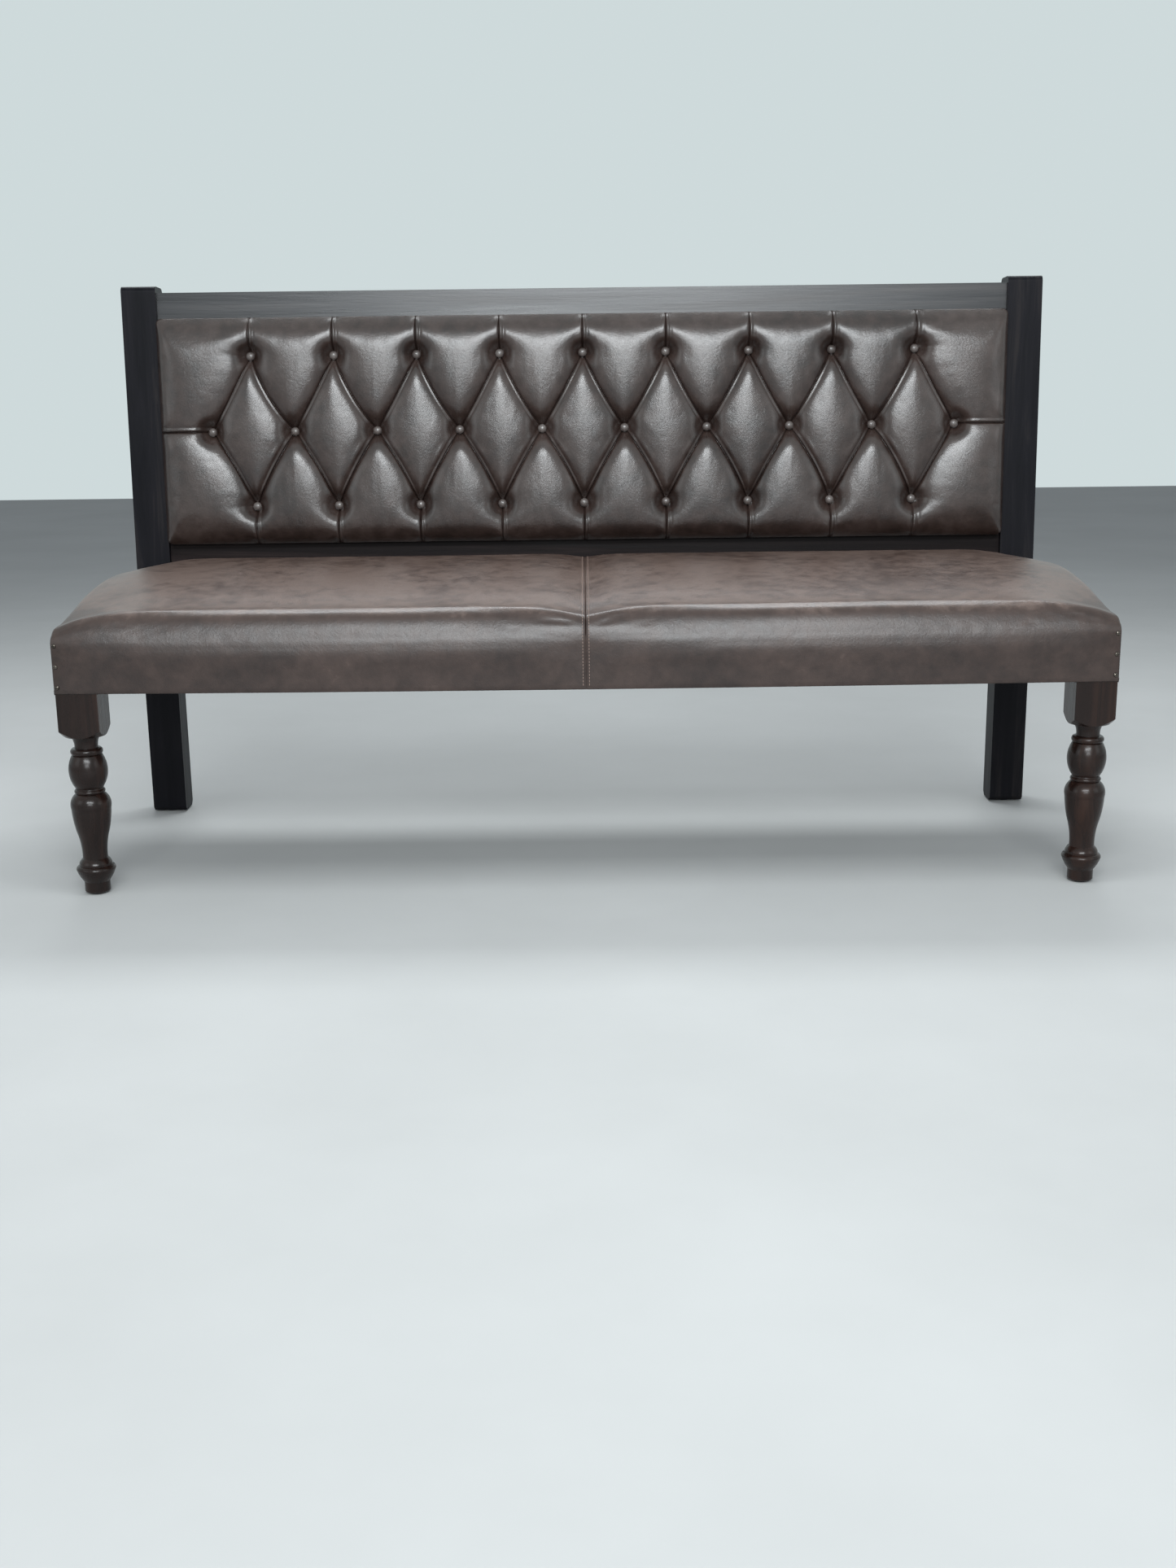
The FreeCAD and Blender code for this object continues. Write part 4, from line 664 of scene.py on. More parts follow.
def patch_heights(sides, points, fullness):
    """Height of each point, distance to its nearest tuck, how much of a lip or a pleat it has there,
    and how far it is from whatever holds it down."""
    near, weights, levels = np.full(len(points), FAR_OFF), 0.0, 0.0
    closeness, lip, pleat = 0.0, np.zeros(len(points)), np.zeros(len(points))
    held = np.full(len(points), FAR_OFF)
    for line, level, kind in (edge for side in sides for edge in side):
        gap, here, along = nearest_on(line, level, points)
        safe = np.maximum(gap, TOUCHING) * PULL[kind]
        weights, levels = weights + safe ** -2, levels + here * safe ** -2
        closeness = closeness + safe ** -NEARER_COUNTS
        held = np.minimum(held, gap)
        if kind in ("lip", "under", "pleat"):
            closer = gap < near
            fade = np.clip(np.sin(np.pi * along) * FADE_SPEED, 0, 1)
            lip = np.where(closer, -fade if kind == "under" else fade, lip)
            pleat = np.where(closer, fade * (kind == "pleat"), pleat)
            near = np.minimum(near, gap)
    base = levels / weights
    inside = closeness ** (-1 / NEARER_COUNTS)
    roll = np.sin(np.pi / 2 * np.clip(inside / PUFF_REACH, 0, 1)) ** PUFF_POWER
    dome = np.sin(np.pi / 2 * np.clip(inside / DOME_REACH, 0, 1))
    filled = roll * (1 - DOME_SHARE) + dome * DOME_SHARE
    height = base + (PUFF_LEVEL * fullness - base) * filled
    if all(kind in ("lip", "under") for side in sides for _, _, kind in side):
        down = (PAD_MIDDLE - points[:, 1]) / ROW_STEP
        height += EAR_HEIGHT * hump(near, EAR_AT, EAR_WIDTH) * hump(down, EAR_DOWN, EAR_REACH)
    buttons = np.array(upper + middle + lower)
    away = np.linalg.norm(points[:, None] - buttons[None], axis=2).min(axis=1)
    rise = np.clip(away - FUNNEL_FLAT, 0, None) / FUNNEL_REACH
    height = BUTTON_LEVEL + (height - BUTTON_LEVEL) * (1 - np.exp(-rise ** FUNNEL_POWER))
    held = np.minimum(held, np.clip(away - FUNNEL_FLAT, 0, None) * FUNNEL_HELD)
    return height, near, lip, pleat, held


def rounded_corner(points):
    middle_point = np.array((0, PAD_MIDDLE))
    reach = np.array((PAD_HALF, PAD_HIGH - PAD_MIDDLE)) - ROUND_CORNER
    offset = points - middle_point
    over = np.clip((np.abs(offset) - reach) / ROUND_CORNER, 0, None)
    pulled_in = over * np.sqrt(1 - over[:, ::-1] ** 2 / 2)
    return points + np.sign(offset) * (pulled_in - over) * ROUND_CORNER


print("corner radius", ROUND_CORNER)

# %% [markdown]
# ## Back pad: the front
# Neighbouring patches share the points on their tucks, so the front is one skin, as the real hide is. A
# point is known by its place, and a second patch that asks for the same place gets the same point. No
# two puffs are stuffed alike, so each is a little fuller or slacker than the next.

# %% the pad's front skin
FULLNESS_SPREAD, FULLNESS_STEP = 0.025, 2.4
pad_points, pad_faces, seen = [], [], {}
pad_near, pad_lip, pad_pleat, pad_held, rim = [], [], [], [], []
for number, sides in enumerate(patches):
    net = coons(sides)
    flat = net.reshape(-1, 2)
    fullness = 1 + FULLNESS_SPREAD * math.sin(number * FULLNESS_STEP)
    heights, near, lip, pleat, held = patch_heights(sides, flat, fullness)
    shaped = rounded_corner(flat)
    index = np.empty(len(flat), dtype=int)
    for k, (x, z) in enumerate(flat):
        key = (round(x, 6), round(z, 6))
        if key not in seen:
            seen[key] = len(pad_points)
            pad_points.append((shaped[k, 0], -heights[k], shaped[k, 1]))
            pad_near.append(near[k])
            pad_lip.append(lip[k])
            pad_pleat.append(pleat[k])
            pad_held.append(held[k])
            if abs(x) > PAD_HALF - TOUCHING or not PAD_LOW + TOUCHING < z < PAD_HIGH - TOUCHING:
                rim.append(seen[key])
        index[k] = seen[key]
    pad_faces += net_faces(index.reshape(net.shape[:2]))
skin_count = len(pad_points)
print("front skin of", skin_count, "points")

# %% [markdown]
# ## Back pad: the edges
# At the border the hide turns over the edge of the board and is tacked behind it. The rim of the front is
# repeated, each time drawn in a little or set further back, and a closing face lies against the board.

# %% the pad's edges and back
BEHIND = ((0.0, -0.004), (0.0, 0.008), (0.0012, 0.0113), (0.024, 0.0118), (0.024, 0.0105),
          (0.0021, 0.0103), (0.0021, 0.0006))
rim.sort(key=lambda k: math.atan2(pad_points[k][2] - PAD_MIDDLE, pad_points[k][0]))
loop = rim
for inset, depth in BEHIND:
    start = len(pad_points)
    for k in rim:
        x, z = pad_points[k][0], pad_points[k][2] - PAD_MIDDLE
        shrink_x, shrink_z = 1 - inset / PAD_HALF, 1 - inset / (PAD_HIGH - PAD_MIDDLE)
        pad_points.append((x * shrink_x, depth, PAD_MIDDLE + z * shrink_z))
    following = list(range(start, len(pad_points)))
    for k in range(len(rim)):
        after = (k + 1) % len(rim)
        pad_faces.append([loop[k], following[k], following[after], loop[after]])
    loop = following
pad_faces.append(loop[::-1])
print("rim of", len(rim), "points")

# %% [markdown]
# ## Back pad: leant and stuffed
# The back leans: the posts bend 3.2 degrees backwards just above the seat. The pad was drawn upright
# from that bend, so it is turned by the same angle about the same line, after the cloth has swelled it.
# Points at a tuck or a button are held, and further off they are let go bit by bit.

# %% lean the pad and swell it
LEAN = math.radians(3.2)
BEND_Y, BEND_Z = FRONT + 0.588, 0.400


def leaning(points):
    x, y, z = np.asarray(points).T
    c, s = math.cos(LEAN), math.sin(LEAN)
    return np.column_stack((x, BEND_Y + y * c + z * s, BEND_Z - y * s + z * c))


PAD_OUT = np.array((0, -math.cos(LEAN), math.sin(LEAN)))
NET_CELL = 0.0085
PAD_PRESSURE, PAD_MOST = 10.0, 0.007
HELD_WITHIN, LET_GO_OVER = 0.003, 0.012
loops_behind = len(pad_points) - skin_count
near = np.array(pad_near + [FAR_OFF] * loops_behind)
lip = np.array(pad_lip + [0.0] * loops_behind)
pleat = np.array(pad_pleat + [0.0] * loops_behind)
held = np.array(pad_held + [0.0] * loops_behind)
loose = np.clip((held - HELD_WITHIN) / LET_GO_OVER, 0, 1)


def swollen_pad():
    skin = np.array(pad_points)
    finder = kdtree.KDTree(skin_count)
    for k in range(skin_count):
        finder.insert((skin[k, 0], 0, skin[k, 2]), k)
    finder.balance()
    wide, tall = 2 * PAD_HALF, PAD_HIGH - PAD_LOW
    rows, columns = round(wide / NET_CELL) + 1, round(tall / NET_CELL) + 1
    net, pinned = np.zeros((rows, columns, 3)), np.ones((rows, columns))
    for i in range(rows):
        for j in range(columns):
            x = i / (rows - 1) * wide - PAD_HALF
            z = PAD_LOW + j / (columns - 1) * tall
            k = finder.find((x, 0, z))[1]
            net[i, j] = x, skin[k, 1], z
            pinned[i, j] = 1 - loose[k]
    moved = swell(net, pinned, PAD_PRESSURE, PAD_MOST)
    at_row = (skin[:, 0] + PAD_HALF) / wide * (rows - 1)
    at_column = (skin[:, 2] - PAD_LOW) / tall * (columns - 1)
    return skin + finer(moved, at_row, at_column) * loose[:, None]


back_pad = new_piece("back_pad", leaning(swollen_pad()), pad_faces)
print("pad of", len(back_pad.data.vertices), "points")

# %% [markdown]
# ## Back pad: the folds
# Along a tuck one side of the leather is folded over the other: a thin lip, a shallow valley beside it
# and a sharp crease between. Border tucks are wider pleats with one pressed edge, and the hide gathers in
# small rays round each button. These are far smaller than the puffs, so they are moves of the points,
# added after the swelling, which would have blown them out.

# %% fold the tucks
LIP_HEIGHT, LIP_AT, LIP_WIDTH = 0.0020, 0.0020, 0.0011
VALLEY_DEPTH, VALLEY_AT, VALLEY_WIDTH = 0.0012, 0.0050, 0.0018
CREASE_DEPTH, CREASE_WIDTH = 0.0036, 0.0008
PLEAT_HEIGHT, PLEAT_AT, PLEAT_WIDTH = 0.0024, 0.0042, 0.0027
EDGE_DEPTH, EDGE_AT, EDGE_WIDTH = 0.0022, 0.0088, 0.0014
GATHER, GATHER_AT, GATHER_WIDTH, RAYS, RAYS_TURN = 0.0006, 0.017, 0.009, 13, 1.7
fold = (np.clip(lip, 0, 1) - pleat) * (LIP_HEIGHT * hump(near, LIP_AT, LIP_WIDTH)
                                       - VALLEY_DEPTH * hump(near, VALLEY_AT, VALLEY_WIDTH))
fold += pleat * (PLEAT_HEIGHT * hump(near, PLEAT_AT, PLEAT_WIDTH)
                 - EDGE_DEPTH * hump(near, EDGE_AT, EDGE_WIDTH))
fold -= CREASE_DEPTH * np.exp(-near / CREASE_WIDTH)
front = np.array(pad_points)[:, [0, 2]]
offset = front[:, None] - np.array(upper + middle + lower)[None]
away = np.linalg.norm(offset, axis=2)
nearest = away.argmin(axis=1)
reach = away[np.arange(len(front)), nearest]
angle = np.arctan2(*offset[np.arange(len(front)), nearest].T[::-1])
gather = hump(reach, GATHER_AT, GATHER_WIDTH) * (held > 0)
fold += GATHER * gather * np.cos(RAYS * angle + nearest * RAYS_TURN)
shaped = points_of(back_pad.data) + fold[:, None] * PAD_OUT
back_pad.data.vertices.foreach_set("co", shaped.ravel())
back_pad.data.update()
back_pad.data.materials.append(back_hide)
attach(back_pad, "root")
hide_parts("back_pad_cover", "back_pad_foam")
print("tucks folded,", len(back_pad.data.polygons), "faces")

# %% [markdown]
# ## Seat: the section
# The seat's hide goes from under the front rail up the front, over a soft front edge, across a low crown
# and down behind. The front edge is drawn by how far the hide leans back at each step up from the rail,
# which keeps its bend even, and the rest is a short list of places. A smooth curve runs through both,
# with closer points round the front edge, where the light catches it.

# %% the seat's section
SEAT_END, SEAT_DEPTH = 0.902, 0.5874
SEAT_LOW, BREAK, FRONT_FACE = 0.361, 0.446, -0.002
UPRIGHT_STEPS, FLANGE, TUCKED = 13, 0.020, 0.0016
LEANS_BACK = np.array([(0.0, 3), (0.014, 9), (0.024, 15), (0.034, 24), (0.042, 36), (0.048, 52),
                       (0.053, 70), (0.059, 86)])
OVER_THE_TOP = [(0.0340, 0.4935), (0.0460, 0.4932), (0.0600, 0.4945), (0.0880, 0.4988),
                (0.1300, 0.5058), (0.2000, 0.5150), (0.3000, 0.5240), (0.4000, 0.5290),
                (0.4800, 0.5300), (0.5300, 0.5282), (0.5520, 0.5255), (0.5660, 0.5208),
                (0.5770, 0.5120), (0.5840, 0.5000), (0.5868, 0.4840), (SEAT_DEPTH, 0.4660),
                (SEAT_DEPTH, BREAK)]
EDGE_RUN, EDGE_SPACING, CURVE_SPACING = 0.100, 0.0036, 0.0080
CURVE_STEPS, LEAN_STEPS, KEPT_STEP, HEM_RISE = 24, 60, 4, 0.002


def smooth_curve(places):
    """Closely spaced points of a Catmull-Rom curve through the places, and the length run at each."""
    p = np.array(places)
    p = np.vstack((2 * p[0] - p[1], p, 2 * p[-1] - p[-2]))
    t = np.linspace(0, 1, CURVE_STEPS, endpoint=False)[:, None]
    pieces = []
    for a, b, c, d in zip(p[:-3], p[1:-2], p[2:-1], p[3:]):
        pieces.append(0.5 * (2 * b + (c - a) * t + (2 * a - 5 * b + 4 * c - d) * t ** 2
                             + (3 * b - a - 3 * c + d) * t ** 3))
    fine = np.vstack(pieces + [p[-2:-1]])
    return fine, np.concatenate(([0], np.cumsum(np.linalg.norm(np.diff(fine, axis=0), axis=1))))


way = np.linspace(0, LEANS_BACK[-1, 0], LEAN_STEPS)
leant = np.radians(np.interp(way, *LEANS_BACK.T))
steps_up = np.column_stack((np.sin(leant), np.cos(leant))) * way[1]
front_edge = np.array((FRONT_FACE, BREAK)) + np.cumsum(steps_up, axis=0) - steps_up[0]
fine, run = smooth_curve([*front_edge[::KEPT_STEP], *OVER_THE_TOP])
coarse_steps = round((run[-1] - EDGE_RUN) / CURVE_SPACING)
marks = np.concatenate((np.arange(0, EDGE_RUN, EDGE_SPACING),
                        np.linspace(EDGE_RUN, run[-1], coarse_steps)))
top_line = np.column_stack([np.interp(marks, run, fine[:, axis]) for axis in (0, 1)])
rising = np.linspace(SEAT_LOW + HEM_RISE, BREAK, UPRIGHT_STEPS + 1)[:-1]
front_line = np.column_stack((np.full(UPRIGHT_STEPS, FRONT_FACE), rising))
rear_line = np.column_stack((np.full(UPRIGHT_STEPS, SEAT_DEPTH), rising[::-1]))
front_flange = np.array([(FLANGE, SEAT_LOW), (FLANGE / 2, SEAT_LOW), (0.001, SEAT_LOW),
                         (-0.0013, SEAT_LOW + 0.0005)])
rear_flange = front_flange[::-1] * (-1, 1) + (SEAT_DEPTH + FRONT_FACE, 0)
section = np.vstack((front_flange, front_line, top_line, rear_line, rear_flange))
flange_count = len(front_flange)
top_from = flange_count + UPRIGHT_STEPS
top_to = top_from + len(top_line) - 1
print("section of", len(section), "points, crest at", front_edge[-1].round(4))

# %% [markdown]
# ## Seat: the form
# One half of the seat is that section carried from the centre seam to the end. The seam draws the hide
# down, most of all at the front edge. Towards the end the seat falls, less in the middle of its depth
# than at the front and the back, and then rolls over, with a small radius down the front corner and a
# wider one along the top. A four-sided patch closes the end.

# %% stations along the seat
STITCH_OFF = 0.0053
near_seam = [0.0, 0.0004, 0.0016, 0.0032, STITCH_OFF, 0.0075, 0.0105, 0.0145, 0.0195, 0.026, 0.034,
             0.043]
stations = np.concatenate((near_seam, np.arange(0.053, 0.872, 0.0085)))
turn_in = np.zeros(len(stations))
turn_in[:4] = 0.0024, 0.0014, 0.0006, 0.0001
ROLL_STEPS = 9
FRONT_ROLL, TOP_ROLL = 0.005, 0.021
ROLL_FROM, ROLL_OVER = 0.025, 0.160
SEAM_DIP, SEAM_REACH, RIDGE_DIP, RIDGE_REACH = 0.0040, 0.020, 0.0065, 0.022
SAG, FRONT_BELLY = 0.0028, 0.0030
END_FALL, FALL_FROM, FRONT_SHARE, REAR_SHARE = 0.022, 0.752, 1.12, 1.45
FRONT_POWER, TOP_POWER, MIDDLE_KEPT = 3.2, 1.8, 0.55
NEAR_END, RAIL_CLEAR = 0.826, 0.457
SEAM_ZONE, RAIL_ROOM, FILLING_ROOM = 0.1, 0.0011, 0.006
RIDGE_AT, RIDGE_WIDE, RIDGE_FROM, RIDGE_OVER = 0.012, 0.050, 0.370, 0.105
TOP_OVER, EDGE_BACK, EDGE_OVER, REAR_FROM, REAR_OVER, CROWN_OVER = 0.040, 0.02, 0.12, 0.36, 0.16, 0.50
BELLY_FROM, BELLY_OVER, FRONT_ONLY, SEAM_FLAT, END_FLAT = 0.363, 0.125, 0.02, 0.022, 0.06
HEM_TOP, HEM_OVER = 0.40, 0.04


def ramp(value, start, over):
    return np.clip((value - start) / over, 0, 1)


def eased(share):
    share = np.clip(share, 0, 1)
    return share * share * (3 - 2 * share)


tangent = np.gradient(section, axis=0)
inward = np.column_stack((tangent[:, 1], -tangent[:, 0])) / np.linalg.norm(tangent, axis=1)[:, None]
order = np.arange(len(section))
along = np.concatenate(([0], np.cumsum(np.linalg.norm(np.diff(section, axis=0), axis=1))))
on_top = np.minimum(along - along[top_from], along[top_to] - along) - ROLL_FROM
roll = FRONT_ROLL + (TOP_ROLL - FRONT_ROLL) * eased(on_top / ROLL_OVER)
depth, height = section.T
at_ridge = hump(depth, RIDGE_AT, RIDGE_WIDE) * eased(ramp(height, RIDGE_FROM, RIDGE_OVER))
high = ramp(height, BREAK, TOP_OVER)
behind_edge = eased(ramp(depth, EDGE_BACK, EDGE_OVER))
to_rear = eased(ramp(depth, REAR_FROM, REAR_OVER))
falls = FRONT_SHARE + (1 - FRONT_SHARE) * behind_edge + (REAR_SHARE - 1) * to_rear
falls *= high * (1 - MIDDLE_KEPT * np.sin(np.pi * ramp(depth, EDGE_BACK, CROWN_OVER)))
fall_power = FRONT_POWER + (TOP_POWER - FRONT_POWER) * behind_edge
at_front = 1 - ramp(depth, FRONT_FACE, FRONT_ONLY)
belly = np.sin(np.pi * ramp(height, BELLY_FROM, BELLY_OVER)) * at_front
low = np.clip((HEM_TOP - height) / HEM_OVER, 0, 1)
depth_left = np.where(height < RAIL_CLEAR, RAIL_ROOM, FILLING_ROOM)


def half_section(x, inset):
    """Points of the section at one distance from the seam, before the end rolls over."""
    x = np.broadcast_to(x, len(section))
    drawn = np.where(x < SEAM_ZONE, np.minimum(inset, depth_left), inset)
    place = section + inward * (drawn * (order > flange_count - 2))[:, None]
    at_seam = SEAM_DIP * high / np.cosh(x / SEAM_REACH)
    place[:, 1] -= RIDGE_DIP * at_ridge / np.cosh(x / RIDGE_REACH) + at_seam
    past = np.clip((x - FALL_FROM) / (SEAT_END - FALL_FROM), 0, 1)
    place[:, 1] -= END_FALL * past ** fall_power * falls
    place[:, 1] -= SAG * (1 - (x / SEAT_END) ** 2) * low
    between = (1 - np.exp(-x / SEAM_FLAT)) * np.clip((SEAT_END - x) / END_FLAT, 0, 1)
    place[:, 0] -= FRONT_BELLY * belly * between
    if x.max() > NEAR_END:
        place[:flange_count - 1, 0] = np.minimum(place[:flange_count - 1, 0], TUCKED)
    return place


print(len(stations), "stations in each half")

# %% [markdown]
# ## Seat: the half
# The stations become rows of points and the last rows go round the end's roll. Below that roll the end is
# nearly flat, so it is filled from its outline: each line down the end keeps the shape of the top edge at
# first and is straight at the hem. The hem turns in under the rail, narrower where the front leg stands.
# Both halves come from this one function, and the left one is mirrored.

# %% the seat's points and faces
SLOW_LUMPS = (3.1, 4.0, 4.0), (0, 0, 2), 0.0020
QUICK_LUMPS = (9.0, 11.0, 9.0), (5, 0, 0), 0.0007
DRAG_MARKS = (26.0, 8.0, 15.0), (0, 0, 9), 0.0006
DRAG_AT, DRAG_TALL, DRAG_DEEP = 0.474, 0.016, 0.03


def uneven(place, scale, shift, size):
    return noise.noise(Vector(np.multiply(place, scale) + shift)) * size


def lumps(place):
    """Slow unevenness of the stuffing, and short drag marks just below the front edge."""
    marked = math.exp(-((place[2] - DRAG_AT) / DRAG_TALL) ** 2 - (place[1] / DRAG_DEEP) ** 2)
    return (uneven(place, *SLOW_LUMPS) + uneven(place, *QUICK_LUMPS)
            + uneven(place, *DRAG_MARKS) * marked)


END_BELLY, HEM_TURN, LEG_DEPTH, LEG_SHARE = 0.0015, 0.0013, 0.076, 0.6


def half_seat(sign):
    rows = [np.column_stack((np.full(len(section), x), half_section(x, inset)))
            for x, inset in zip(stations, turn_in)]
    for step in range(ROLL_STEPS + 1):
        angle = math.pi / 2 * step / ROLL_STEPS
        x = SEAT_END - roll * (1 - math.sin(angle))
        rows.append(np.column_stack((x, half_section(x, roll * (1 - math.cos(angle))))))
    grid = np.array(rows)
    count, width = grid.shape[:2]
    points = grid.reshape(-1, 3).tolist()
    index = np.arange(count * width).reshape(count, width)
    faces = net_faces(index)
    rim = index[-1]
    columns = rim[top_from:top_to + 1]
    net = [columns]
    edge = grid[-1]
    top = edge[top_from:top_to + 1]
    share = ((top[:, 1] - top[0, 1]) / (top[-1, 1] - top[0, 1]))[:, None]
    for down in range(1, UPRIGHT_STEPS + 2):
        front_k, rear_k = top_from - down, top_to + down
        line = edge[front_k] + (edge[rear_k] - edge[front_k]) * share
        part = down / (UPRIGHT_STEPS + 1)
        sunk = top + (edge[front_k] - top[0]) * (1 - share) + (edge[rear_k] - top[-1]) * share
        line[:, 2] = sunk[:, 2] * (1 - part) + line[:, 2] * part
        line[:, 0] += END_BELLY * math.sin(math.pi * min(1, part)) * np.sin(np.pi * share[:, 0])
        start = len(points)
        points += line[1:-1].tolist()
        net.append(np.concatenate(([rim[front_k]], np.arange(start, len(points)), [rim[rear_k]])))
    hem = [points[k] for k in net[-1]]
    for width_in in (HEM_TURN, FLANGE):
        start = len(points)
        for x, y, _ in hem:
            points.append((x - (width_in if y > LEG_DEPTH else TUCKED * LEG_SHARE), y, SEAT_LOW))
        net.append(np.arange(start, len(points)))
    faces += net_faces(np.array(net))
    points = np.array(points)
    points[:, 0] *= sign
    points[:, 1] += FRONT
    if sign < 0:
        faces = [face[::-1] for face in faces]
    return points, faces, index


print("half seat of", len(half_seat(1)[0]), "points")

# %% [markdown]
# ## Seat: the two hides
# Each half is swollen like the back pad, held along its hem, its rear face and the seam. Unevenness of
# the stuffing is added first, so that the pressure smooths it. Solidify then gives the hide a thickness
# inwards, which leaves the rails free.

# %% the two seat halves
HIDE = 0.0015
SEAT_PRESSURE, SEAT_MOST = 4.0, 0.004
REAR_FACE, SEAM_HALF, FRONT_SKIN, RAIL_TOP = 0.583, 0.006, 0.001, 0.455
HEM_HELD, REAR_HELD, SEAM_HELD, END_HELD = 0.372, 0.586, 0.004, 0.895
SLOW_GO, QUICK_GO = 0.05, 0.03


def upholster(side, sign):
    points, faces, index = half_seat(sign)
    piece = new_piece("seat_hide_" + side, points, faces)
    local = points - (0, FRONT, 0)
    aside = np.abs(local[:, 0])
    free = (local[:, 2] > HEM_TOP) & (local[:, 1] < REAR_FACE) & (aside > SEAM_HALF)
    free &= (local[:, 1] > FRONT_SKIN) | (local[:, 2] > RAIL_TOP)
    for k in np.flatnonzero(free):
        points[k, 2] += lumps(local[k])
    rows, columns = index.shape
    body = points[:index.size].reshape(rows, columns, 3)
    x, y, z = np.moveaxis(body - (0, FRONT, 0), 2, 0)
    edge = np.minimum.reduce(((z - HEM_HELD) / SLOW_GO, (REAR_HELD - y) / QUICK_GO,
                              (np.abs(x) - SEAM_HELD) / QUICK_GO, (END_HELD - np.abs(x)) / SLOW_GO))
    pinned = np.clip(1 - edge[::2, ::2], 0, 1)
    moved = swell(body[::2, ::2], pinned, SEAT_PRESSURE * sign, SEAT_MOST)
    at_row, at_column = np.meshgrid(np.arange(rows) / 2, np.arange(columns) / 2, indexing="ij")
    points[:index.size] += finer(moved, at_row.ravel(), at_column.ravel())
    piece.data.vertices.foreach_set("co", points.ravel())
    piece.data.update()
    piece.data.materials.append(seat_hide)
    return piece, index


seat_left, left_index = upholster("left", -1)
seat_right, right_index = upholster("right", 1)
stitch_station = near_seam.index(STITCH_OFF)
stitch_lines = [points_of(piece.data)[index[stitch_station]]
                for piece, index in ((seat_left, left_index), (seat_right, right_index))]
for piece, nodes in ((seat_left, ["seat_cover_left"]),
                     (seat_right, ["seat_cover_right", "seat_foam"])):
    hide = piece.modifiers.new("thickness", "SOLIDIFY")
    hide.thickness, hide.offset = HIDE, -1
    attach(piece, "root")
    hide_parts(*nodes)
print("two seat halves")

# %% [markdown]
# ## Two trees for what repeats
# There are 28 buttons, six nails and some hundreds of stitches. The same small thing over and over is a
# job for Geometry Nodes: one tree puts a shape on every point, another spaces stitches along a line and
# turns each one to follow it. Both end as plain meshes.

# %% the two trees
def start_tree(name, inputs):
    tree = bpy.data.node_groups.new(name, "GeometryNodeTree")
    tree.interface.new_socket(name="Geometry", in_out="OUTPUT", socket_type="NodeSocketGeometry")
    tree.interface.new_socket(name="Places", in_out="INPUT", socket_type="NodeSocketGeometry")
    sockets = {}
    for label, kind in inputs:
        made = tree.interface.new_socket(name=label, in_out="INPUT", socket_type="NodeSocket" + kind)
        sockets[label] = made.identifier
    return tree, sockets, tree.nodes.new("NodeGroupInput"), tree.nodes.new("NodeGroupOutput")


def grow(tree, kind, **inputs):
    node = tree.nodes.new("GeometryNode" + kind)
    for key, value in inputs.items():
        tree.links.new(value, node.inputs[key.replace("_", " ")])
    return node


def end_tree(tree, given, leaving, placed):
    real = grow(tree, "RealizeInstances", Geometry=placed.outputs["Instances"])
    coated = grow(tree, "SetMaterial", Geometry=real.outputs["Geometry"],
                  Material=given.outputs["Finish"])
    tree.links.new(coated.outputs["Geometry"], leaving.inputs["Geometry"])


def tree_on_points():
    tree, sockets, given, leaving = start_tree(
        "one_on_each_point", [("Shape", "Object"), ("Finish", "Material")])
    shape = grow(tree, "ObjectInfo", Object=given.outputs["Shape"])
    placed = grow(tree, "InstanceOnPoints", Points=given.outputs["Places"],
                  Instance=shape.outputs["Geometry"])
    end_tree(tree, given, leaving, placed)
    return tree, sockets


def tree_along_line():
    tree, sockets, given, leaving = start_tree(
        "spaced_along_line", [("Shape", "Object"), ("Finish", "Material"), ("Pitch", "Float")])
    shape = grow(tree, "ObjectInfo", Object=given.outputs["Shape"])
    line = grow(tree, "MeshToCurve", Mesh=given.outputs["Places"])
    even = grow(tree, "ResampleCurve", Curve=line.outputs["Curve"])
    even.mode = "LENGTH"
    tree.links.new(given.outputs["Pitch"], even.inputs["Length"])
    along = tree.nodes.new("GeometryNodeInputTangent")
    turn = tree.nodes.new("FunctionNodeAlignRotationToVector")
    turn.axis = "X"
    tree.links.new(along.outputs["Tangent"], turn.inputs["Vector"])
    placed = grow(tree, "InstanceOnPoints", Points=even.outputs["Curve"],
                  Instance=shape.outputs["Geometry"], Rotation=turn.outputs["Rotation"])
    end_tree(tree, given, leaving, placed)
    return tree, sockets


def lay_out(name, places, edges, shape, made_tree, values):
    tree, sockets = made_tree
    mesh = bpy.data.meshes.new(name)
    mesh.from_pydata(np.asarray(places).tolist(), edges, [])
    piece = bpy.data.objects.new(name, mesh)
    bpy.context.scene.collection.objects.link(piece)
    nodes = piece.modifiers.new("layout", "NODES")
    nodes.node_group = tree
    for label, value in {"Shape": shape, **values}.items():
        nodes[sockets[label]] = value
    ready = piece.evaluated_get(bpy.context.evaluated_depsgraph_get())
    result = bpy.data.meshes.new_from_object(ready)
    piece.modifiers.remove(nodes)
    piece.data = result
    result.name = name
    bpy.data.objects.remove(shape)
    return piece


print("two trees ready")

# %% [markdown]
# ## Buttons and nails
# A button and a nail head are both low domes, so one function turns the outline of either. The dome is
# drawn facing the front; a button is also leant back with the pad.

# %% domes
def ring_faces(rings, sides):
    """Four-sided faces between each ring of points and the next."""
    faces = []
    for base in range(0, (rings - 1) * sides, sides):
        for k in range(sides):
            after = (k + 1) % sides
            faces.append((base + k, base + after, base + sides + after, base + sides + k))
    return faces


